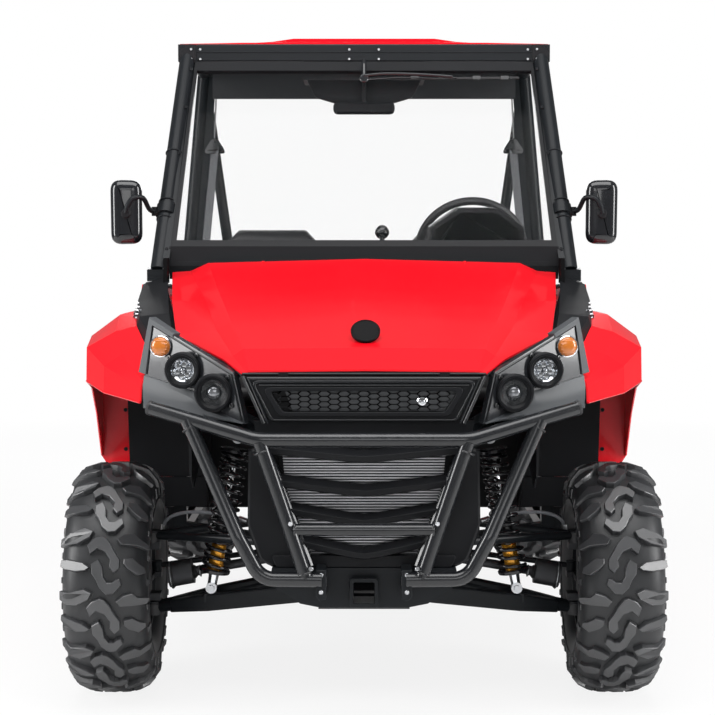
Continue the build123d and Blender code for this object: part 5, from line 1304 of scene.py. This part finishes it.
def crowned_pad(outline_at, thick, crown, rows=26, columns=30, channels=(), edge=0.30):
    """Closed cushion: outline_at gives (left, right) at a height share, both faces crown outwards."""
    front, back = [], []
    for i in range(rows + 1):
        v = i / rows
        left, right = outline_at(v)
        line_front, line_back = [], []
        for j in range(columns + 1):
            u = j / columns
            rim = (1 - abs(2 * u - 1) ** 5) * (1 - abs(2 * v - 1) ** 5)
            swell = rim ** edge
            dome = (1 - (2 * u - 1) ** 2) * (1 - (2 * v - 1) ** 2)
            sink = 0.0
            for kind, at, depth, wide in channels:
                gap = abs((u if kind == "u" else v) - at)
                sink += depth * max(0.0, 1 - gap / wide) ** 2
            x = left + (right - left) * u
            line_front.append((x, -thick / 2 * swell - crown * dome + sink * swell, v))
            line_back.append((x, thick / 2 * swell, v))
        front.append(line_front)
        back.append(line_back)
    return front, back


def pad_piece(name, place, height, outline_at, thick, crown, channels, finish_name="vinyl"):
    """One upholstered pad as its own closed mesh."""
    front, back = crowned_pad(outline_at, thick, crown, channels=channels)
    rows, columns = len(front), len(front[0])
    points = [(x, y, v * height) for line in front for x, y, v in line]
    points += [(x, y, v * height) for line in back for x, y, v in line]
    off = rows * columns
    faces = []
    for i in range(rows - 1):
        for j in range(columns - 1):
            a = i * columns + j
            faces.append((a, a + 1, a + columns + 1, a + columns))
            faces.append((off + a, off + a + columns, off + a + columns + 1, off + a + 1))
    shell = Shell().add(points, faces)
    for i in range(rows - 1):
        for j in (0, columns - 1):
            a, b = i * columns + j, (i + 1) * columns + j
            shell.faces.append([a, b, off + b, off + a])
    for j in range(columns - 1):
        for i in (0, rows - 1):
            a, b = i * columns + j, i * columns + j + 1
            shell.faces.append([a, b, off + b, off + a])
    shell.moved(place)
    piece = put(name, shell, finish_name, smooth=60, subdivide=1)
    return piece


def build_seats():
    """Cushions and backs of both seats."""
    def base_outline(v):
        pinch = 12 * (1 - (2 * v - 1) ** 2)
        nose = 26 * max(0.0, v - 0.88) / 0.12
        return -236 + pinch * 0.4 + nose, 236 - pinch * 0.4 - nose

    def back_outline(v):
        half = 232 - 116 * max(0.0, (v - 0.62) / 0.38) ** 1.9 - 22 * max(0.0, 0.10 - v) / 0.10
        return -half, half

    seam = (("v", 0.30, 6, 0.03), ("v", 0.55, 6, 0.03), ("u", 0.20, 8, 0.03), ("u", 0.80, 8, 0.03))
    back_seam = (("v", 0.24, 6, 0.03), ("v", 0.48, 6, 0.03), ("v", 0.72, 6, 0.03),
                 ("u", 0.22, 8, 0.03), ("u", 0.78, 8, 0.03))
    pads, backs = [], []
    for side, label in ((1, "driver"), (-1, "passenger")):
        flat = Matrix.Translation((side * 330, 468, 747)) @ Matrix.Rotation(radians(90), 4, "X")
        pads.append(pad_piece(f"seat_base_{label}", flat @ Matrix.Scale(-1, 4, (0, 1, 0)),
                              486, base_outline, 98, 10, seam))
        lean = Matrix.Translation((side * 330, 408, 806)) @ Matrix.Rotation(radians(-6), 4, "X")
        backs.append(pad_piece(f"seat_back_{label}", lean, 519, back_outline, 84, 10,
                               back_seam))
    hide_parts("seat_cushions")
    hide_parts("seat_backs")


def ribbon(shell, path, wide, across, thick=1.8):
    """Flat strap along a path, as wide as given in one direction."""
    across = Vector(across).normalized()
    pts = [Vector(p) for p in path]
    rings = []
    for i, p in enumerate(pts):
        ahead = (pts[min(i + 1, len(pts) - 1)] - pts[max(i - 1, 0)]).normalized()
        flat = (across - ahead * across.dot(ahead)).normalized()
        out = ahead.cross(flat)
        rings.append([p - flat * wide / 2 - out * thick / 2, p + flat * wide / 2 - out * thick / 2,
                      p + flat * wide / 2 + out * thick / 2, p - flat * wide / 2 + out * thick / 2])
    shell.loft(rings)


def build_belts():
    """Shoulder belts with their guides and reels."""
    straps, metal, boxes = Shell(), Shell(), Shell()
    ribbon(straps, [(533, 516, 1868), (537, 514, 1770), (544, 512, 1648)], 46, (0, 1, 0))
    ribbon(straps, smooth_path([(541, 508, 1606), (556, 500, 1450), (572, 490, 1283), (584, 470, 1100),
                                (590, 400, 720)]), 46, (0.65, 0.76, 0))
    guide = [(541 + x, 1620 + z)
             for x, z in ((-34, -28), (34, -28), (36, -14), (11, 26), (-11, 26), (-36, -14))]
    metal.prism(rounded(guide, 12, 5), 500, 512)
    metal.tube([(517, 497, 1606), (565, 497, 1606)], 3.5, 12)
    metal.disc([(-6, 0), (-6, 7), (2, 7), (4, 5), (4, 0)], (541, 498, 1636), (0, -1, 0), 20)
    boxes.prism(rounded([(560, 1205), (606, 1205), (606, 1262), (560, 1262)], 10), 500, 540)
    for side in (1, -1):
        boxes.block(side * 60 - 14, side * 60 + 14, 380, 410, 790, 850)
    put("belt_webbing", straps.both(), "webbing", smooth=40)
    put("belt_guides", metal.both(), "gloss_black", bevel=1, smooth=40)
    put("belt_reels", boxes.both(), "moulded_black", bevel=2, smooth=35)


def build_instruments():
    """Instrument hood and its screen."""
    outline = rounded([(202, 1232), (202, 1321), (289, 1381), (411, 1381), (498, 1321), (498, 1232)], 8, 4)
    hood = Shell().stack(outline, ((-470, -20), (-440, -4), (-320, 0), (-298, 0), (-294, -5)))
    put("instrument_hood", hood, "moulded_black", smooth=40)
    face = rounded([(262, 1246), (262, 1300), (300, 1346), (400, 1346), (438, 1300), (438, 1246)], 12, 5)
    screen = Shell().prism(face, -296, -291)
    put("instrument_screen", screen, "screen_glass", bevel=1, smooth=30)


def build_dash_trim():
    """Slatted air vents, switches and the glove box lid."""
    trim = Shell()
    slope = Vector((0, -20, -230)).normalized()
    out = Vector((0, 0.996, -0.087))
    for x in (-420, -120, 130, 500):
        spot = Vector((x, -256, 1120))
        trim.lathe([(-2, 38), (5, 38), (7, 34), (5, 30), (-2, 30)], spot, out, 32)
        for k in range(-3, 4):
            half = (30 ** 2 - (k * 8) ** 2) ** 0.5
            a = spot + slope * (k * 8)
            trim.tube([a + Vector((-half, 0, 0)), a + Vector((half, 0, 0))], 2.0, 6)
    for x in (-40, 0, 40):
        trim.block(x - 14, x + 14, -262, -250, 1030, 1060)
    trim.prism(rounded([(-470, 975), (-190, 975), (-190, 1075), (-470, 1075)], 14), -270, -259)
    put("dash_trim", trim, "panel_black", bevel=1.2, smooth=35)


def build_controls():
    """Hub of the steering wheel and knob of the shift lever."""
    tilt = Vector((0, 0.9063, 0.4226))
    cap = Shell().disc([(0, 0), (0, 46), (6, 46), (12, 40), (14, 22), (14, 0)], Vector((365, 100, 1248)),
                       tilt, 32)
    put("steering_hub", cap, "moulded_black", "steering_wheel", smooth=35)
    knob = Shell().disc([(-25, 0), (-23, 10), (-15, 19), (-4, 24), (8, 22), (17, 15), (22, 6), (23, 0)],
                        (60, -50, 1305), (0, 0.65, 0.75), 28)
    put("shift_knob", knob, "gloss_black", smooth=60)


def build_floor_mats():
    """Ribbed mat in each footwell."""
    mats = Shell()
    for side in (1, -1):
        mats.prism(rounded([(side * 130, -420), (side * 500, -420), (side * 500, 20), (side * 130, 20)], 20),
                   457, 461, "z")
        for k in range(14):
            y = -400 + k * 29
            mats.block(side * 315 - 170, side * 315 + 170, y, y + 12, 460, 464)
    put("floor_mats", mats, "grip_rubber", smooth=30)


def build_roof():
    """Seal, screws and console of the roof."""
    lip = Shell().tube([(-598, -124, 1912), (598, -124, 1912)], 2.4, 8)
    put("roof_seal", lip, "boot_rubber", smooth=50)
    spots = [(s * 590, y, 1927, (0.15 * s, 0, 1)) for s in (1, -1) for y in (150, 400, 560)]
    bolts("roof_screws", spots, 8, 5, "zinc", slot="roof_panel")
    console = Shell()
    outline = [(-192, 1812), (192, 1812), (160, 1748), (96, 1729), (-96, 1729), (-160, 1748)]
    console.prism(rounded(outline, 10, 4), -72, -30)
    for x in (-120, 120):
        console.disc([(0, 0), (0, 26), (5, 26), (7, 22), (7, 0)], (x, 60, 1804), (0, 0, -1), 24)
    put("roof_console", console, "moulded_black", bevel=2, smooth=35)


# ---- doors, bed and tail ------------------------------------------------
DOOR_SKIN = ((-440, 640), (-440, 1060), (-400, 1104), (290, 1066), (455, 935), (455, 640))
DOOR_FOOT = ((-440, 570), (-440, 625), (455, 625), (455, 530), (430, 500), (-380, 500))
DOOR_GRIP = ((300, 880), (300, 930), (430, 930), (430, 880))
DOOR_LINING = ((-440, 520), (-440, 1040), (-400, 1080), (300, 1040), (470, 920), (470, 520))


def build_doors():
    """Red skin, dark foot, lining and handle of both doors; outlines are (y, z)."""
    for side, node in ((1, "door_left"), (-1, "door_right")):
        sheet, dark, metal = Shell(), Shell(), Shell()
        sheet.stack(rounded(DOOR_SKIN, 30, 5), [(side * x, s) for x, s in ((689, 0), (694, -4), (696, -14))],
                    "x")
        put(f"{node}_skin", sheet, "red_paint", node, smooth=30)
        for corners, radius, steps, layers in ((DOOR_FOOT, 16, 4, ((689, 0), (694, -3))),
                                               (DOOR_GRIP, 16, 4, ((695, 0), (699, -3))),
                                               (DOOR_LINING, 30, 5, ((655, 0), (651, -6)))):
            dark.stack(rounded(corners, radius, steps), [(side * x, s) for x, s in layers], "x")
        dark.tube(smooth_path([(side * 672, -470, 1084), (side * 672, -425, 1140), (side * 672, 0, 1122),
                               (side * 672, 300, 1101), (side * 672, 498, 962)]), 9, 12)
        put(f"{node}_trim", dark, "moulded_black", node, smooth=35)
        metal.tube([(side * 700, 318, 905), (side * 706, 326, 905), (side * 706, 404, 905),
                    (side * 700, 412, 905)], 5, 12)
        put(f"{node}_handle", metal, "gloss_black", node, smooth=45)


def build_bed():
    """Liner, rail caps, side panels and bolts of the cargo bed."""
    ribs, caps, panel = Shell(), Shell(), Shell()
    for x in range(-540, 541, 90):
        ribs.prism([(x - 22, 759.5), (x + 22, 759.5), (x + 14, 764), (x - 14, 764)], 700, 1430)
    put("bed_floor_ribs", ribs, "moulded_black", "cargo_bed", smooth=30)
    plate = Shell().prism([(-608, 682), (608, 682), (608, 1438), (-608, 1438)], 759.5, 761, "z")
    put("bed_liner", plate, "moulded_black", "cargo_bed", smooth=30)
    for side in (-1, 1):
        caps.prism([(side * 606, 1046), (side * 641, 1046), (side * 643, 1054), (side * 604, 1054)], 648,
                   1438)
        for y0, y1 in ((690, 920), (950, 1180), (1210, 1410)):
            outline = rounded([(y0, 800), (y1, 800), (y1, 1010), (y0, 1010)], 22, 5)
            panel.stack(outline, [(side * x, s) for x, s in ((638, 0), (643, -3), (644.5, -12))], "x")
    caps.prism([(-640, 1046), (640, 1046), (640, 1054), (-640, 1054)], 648, 684)
    put("bed_rail_caps", caps, "moulded_black", "cargo_bed", bevel=2, smooth=35)
    put("bed_side_panels", panel, "red_paint", "cargo_bed", smooth=30)
    spots = [(s * 645, y, 1028, (s, 0, 0)) for s in (1, -1) for y in (700, 860, 1020, 1180, 1340, 1420)]
    bolts("bed_bolts", spots, 7, 5, "zinc", "cargo_bed", slot="cargo_bed")


def build_tailgate():
    """Panel, latch and cap of the tailgate."""
    gate, latch = Shell(), Shell()
    outline = rounded([(-560, 800), (560, 800), (560, 1010), (-560, 1010)], 26, 5)
    gate.stack(outline, ((1475, 0), (1480, -3), (1481.5, -14)))
    put("tailgate_panel", gate, "red_paint", "tailgate", smooth=30)
    latch.prism(rounded([(-90, 1000), (90, 1000), (90, 1038), (-90, 1038)], 12, 4), 1474, 1486)
    latch.prism([(-640, 1046), (640, 1046), (640, 1054), (-640, 1054)], 1445, 1478)
    put("tailgate_latch", latch, "moulded_black", "tailgate", bevel=1.5, smooth=35)


def build_tail_lamps():
    """Red lenses with two bars across each."""
    lens, rims = Shell(), Shell()
    lens.prism([(1421, 504), (1412, 572), (1433, 576), (1443, 510)], 679, 731, "x")
    put("tail_lamp_lenses", lens.both(), "red_lens", stands_for=("tail_lamps",), bevel=3,
        smooth=30)
    for z in (528, 552):
        rims.tube([(676, 1438 - (z - 505) * 0.14, z), (734, 1438 - (z - 505) * 0.14, z)], 2.4, 8)
    put("tail_lamp_bars", rims.both(), "panel_black", smooth=50)


def build_sill_treads():
    """Rubber strips to step on along the sills."""
    steps = Shell()
    for k in range(12):
        y = -440 + k * 80
        steps.block(620, 672, y, y + 30, 459, 464)
    put("sill_treads", steps.both(), "grip_rubber", smooth=30)


def build_arches():
    """Dark panels behind the front wheels and mesh vents in the cowl's sides."""
    panels = Shell()
    panels.prism([(478, 560), (478, 960), (560, 1010), (700, 1010), (720, 900), (712, 560)], -580, -576)
    panels.prism([(478, 470), (478, 560), (712, 560), (690, 470)], -600, -596)
    put("arch_rear_panels", panels.both(), "panel_black", smooth=30)
    side = Shell()
    side.prism([(-1185, 640), (-1185, 842), (-1062, 934), (-900, 992), (-640, 1002), (-584, 900),
                (-584, 480), (-660, 480), (-760, 600), (-950, 650), (-1120, 600)], 464, 468.5, "x")
    put("arch_inner_panels", side.both(), "panel_black", smooth=30)
    spots = [(j * 9.2 + (4.6 if i % 2 else 0), 0, i * 8.2) for i in range(6) for j in range(5)]
    for way, label in ((1, "left"), (-1, "right")):
        turn = Matrix.Rotation(radians(way * 62), 4, "Z") @ Matrix.Rotation(radians(-12), 4, "X")
        place = Matrix.Translation(Vector((way * 640, -905, 1036)) * MM) @ turn
        if way < 0:
            place = place @ Matrix.Translation((-0.05, 0, 0))
        vent = PATTERNS["cells"].grow(f"cowl_vent_{label}", Shell().add(spots, []), "steel", matrix=place,
                                      Sides=6, Radius=5.0 * MM, Wall=1.2 * MM, Depth=3 * MM,
                                      Stretch=(1.0, 1.0, 1.0))
        settle(vent, "steel", smooth=30)


# ---- settings, operators and panel --------------------------------------
class VehicleColours(bpy.types.PropertyGroup):
    """Colours that a user may change."""
    body_colour: FloatVectorProperty(
        name="Body", description="Paint of the hood, fenders, doors, roof and bed", subtype="COLOR", size=3,
        min=0.0, max=1.0, default=(0.78, 0.0015, 0.010))
    damper_colour: FloatVectorProperty(
        name="Dampers", description="Anodised colour of the damper bodies", subtype="COLOR", size=3,
        min=0.0, max=1.0, default=(0.80, 0.36, 0.03))
    marker_colour: FloatVectorProperty(
        name="Side markers", description="Colour of the front marker lenses", subtype="COLOR", size=3,
        min=0.0, max=1.0, default=(0.55, 0.16, 0.02))


class VehicleSizes(bpy.types.PropertyGroup):
    """Sizes of the small work that the solids leave out."""
    tread_height: FloatProperty(
        name="Tread height", description="Height of the tyre blocks above the casing", unit="LENGTH",
        min=0.006, max=0.0156, default=0.0156)
    tread_pitches: IntProperty(
        name="Tread pitches", description="Repeats of the block pattern round a tyre", min=8, max=16,
        default=12)
    coil_wire: FloatProperty(
        name="Coil wire", description="Radius of the suspension springs' wire", unit="LENGTH",
        min=0.004, max=0.007, default=0.0056)
    coil_gap: FloatProperty(
        name="Coil pitch", description="Distance from one turn of a spring to the next", unit="LENGTH",
        min=0.018, max=0.036, default=0.024)


class StudioLight(bpy.types.PropertyGroup):
    """Light of the pale studio."""
    side_power: FloatProperty(
        name="Side lamps", description="Power of the tall lamps on both sides", subtype="POWER", min=0.0,
        max=1000.0, default=165.0)
    top_power: FloatProperty(
        name="Top lamp", description="Power of the wide lamp overhead", subtype="POWER", min=0.0, max=1000.0,
        default=190.0)
    front_power: FloatProperty(
        name="Front lamp", description="Power of the lamp over the camera", subtype="POWER", min=0.0,
        max=1000.0, default=46.0)


class VEHICLE_OT_finishes(bpy.types.Operator):
    """Make the finishes and the repeat patterns"""
    bl_idname = "vehicle.finishes"
    bl_label = "Finishes and patterns"

    def execute(self, _context):
        make_finishes()
        make_patterns()
        dress_solids()
        return {"FINISHED"}


class VEHICLE_OT_wheels(bpy.types.Operator):
    """Build the tyre casings, tread blocks and wheel trim"""
    bl_idname = "vehicle.wheels"
    bl_label = "Wheels"

    def execute(self, _context):
        build_wheels()
        return {"FINISHED"}


class VEHICLE_OT_lamps(bpy.types.Operator):
    """Build the headlamps and their pods"""
    bl_idname = "vehicle.lamps"
    bl_label = "Lamps"

    def execute(self, _context):
        build_headlamps()
        build_indicators()
        build_pod_trim()
        return {"FINISHED"}


class VEHICLE_OT_grilles(bpy.types.Operator):
    """Build the upper grille and the louvres in front of the radiator"""
    bl_idname = "vehicle.grilles"
    bl_label = "Grilles"

    def execute(self, _context):
        build_upper_grille()
        build_honeycomb()
        build_lower_grille()
        build_radiator_fins()
        return {"FINISHED"}


class VEHICLE_OT_guard(bpy.types.Operator):
    """Build the brush guard's joints and bolts"""
    bl_idname = "vehicle.guard"
    bl_label = "Brush guard"

    def execute(self, _context):
        build_guard()
        build_receiver()
        return {"FINISHED"}


class VEHICLE_OT_front_body(bpy.types.Operator):
    """Build the hood's disc and seals, the fenders' rivets and lips, and the cowl's slats and end blocks"""
    bl_idname = "vehicle.front_body"
    bl_label = "Hood and fenders"

    def execute(self, _context):
        build_hood()
        build_fenders()
        build_cowl()
        return {"FINISHED"}


class VEHICLE_OT_suspension(bpy.types.Operator):
    """Build the dampers, springs, arms, boots and hoses"""
    bl_idname = "vehicle.suspension"
    bl_label = "Suspension"

    def execute(self, _context):
        build_dampers()
        build_springs()
        build_arms()
        build_axle_boots()
        build_brake_lines()
        build_rack_bellows()
        return {"FINISHED"}


class VEHICLE_OT_cage(bpy.types.Operator):
    """Build the cage's covers, the windshield and the mirrors"""
    bl_idname = "vehicle.cage"
    bl_label = "Cage and windshield"

    def execute(self, _context):
        build_pillar_covers()
        build_header()
        build_roof_crown()
        build_pillar_fittings()
        build_windshield()
        build_mirrors()
        build_cab_mirror()
        return {"FINISHED"}


class VEHICLE_OT_seats(bpy.types.Operator):
    """Build the seats and their belts"""
    bl_idname = "vehicle.seats"
    bl_label = "Seats and belts"

    def execute(self, _context):
        build_seats()
        build_belts()
        return {"FINISHED"}


class VEHICLE_OT_interior(bpy.types.Operator):
    """Build the dash, controls, mats and roof fittings"""
    bl_idname = "vehicle.interior"
    bl_label = "Dash and roof"

    def execute(self, _context):
        build_instruments()
        build_dash_trim()
        build_controls()
        build_floor_mats()
        build_roof()
        return {"FINISHED"}


class VEHICLE_OT_doors(bpy.types.Operator):
    """Build the skins and trim of both half doors"""
    bl_idname = "vehicle.doors"
    bl_label = "Doors"

    def execute(self, _context):
        build_doors()
        return {"FINISHED"}


class VEHICLE_OT_bed(bpy.types.Operator):
    """Build the bed, tailgate, rear lamps and arches"""
    bl_idname = "vehicle.bed"
    bl_label = "Cargo bed"

    def execute(self, _context):
        build_bed()
        build_tailgate()
        build_tail_lamps()
        build_sill_treads()
        build_arches()
        return {"FINISHED"}


class VEHICLE_OT_stage(bpy.types.Operator):
    """Set up the floor, the lamps and the camera"""
    bl_idname = "vehicle.stage"
    bl_label = "Studio"

    def execute(self, context):
        context.scene.view_settings.view_transform = "Standard"
        build_world()
        build_floor()
        build_lights()
        build_camera()
        return {"FINISHED"}


OPERATORS = (VEHICLE_OT_finishes, VEHICLE_OT_wheels, VEHICLE_OT_lamps, VEHICLE_OT_grilles, VEHICLE_OT_guard,
             VEHICLE_OT_front_body, VEHICLE_OT_suspension, VEHICLE_OT_cage, VEHICLE_OT_seats,
             VEHICLE_OT_interior, VEHICLE_OT_doors, VEHICLE_OT_bed, VEHICLE_OT_stage)


class VEHICLE_PT_dressing(bpy.types.Panel):
    """Sidebar panel with the settings and every step in order"""
    bl_idname = "VEHICLE_PT_dressing"
    bl_label = "Vehicle Dressing"
    bl_space_type = "VIEW_3D"
    bl_region_type = "UI"
    bl_category = "Vehicle"

    def draw(self, context):
        layout = self.layout
        for name, group in GROUPS:
            box = layout.box()
            settings = getattr(context.scene, name)
            for key in group.__annotations__:
                box.prop(settings, key)
        for operator in OPERATORS:
            layout.operator(operator.bl_idname)


GROUPS = (("vehicle_colours", VehicleColours), ("vehicle_sizes", VehicleSizes),
          ("studio_light", StudioLight))
CLASSES = (*[entry[1] for entry in GROUPS], *OPERATORS, VEHICLE_PT_dressing)


def register():
    for cls in CLASSES:
        bpy.utils.register_class(cls)
    for name, group in GROUPS:
        setattr(bpy.types.Scene, name, PointerProperty(type=group))


def unregister():
    for group in GROUPS:
        delattr(bpy.types.Scene, group[0])
    for cls in reversed(CLASSES):
        bpy.utils.unregister_class(cls)


def main():
    register()
    for operator in OPERATORS:
        getattr(bpy.ops.vehicle, operator.bl_idname.split(".")[1])()


if __name__ == "__main__":
    main()
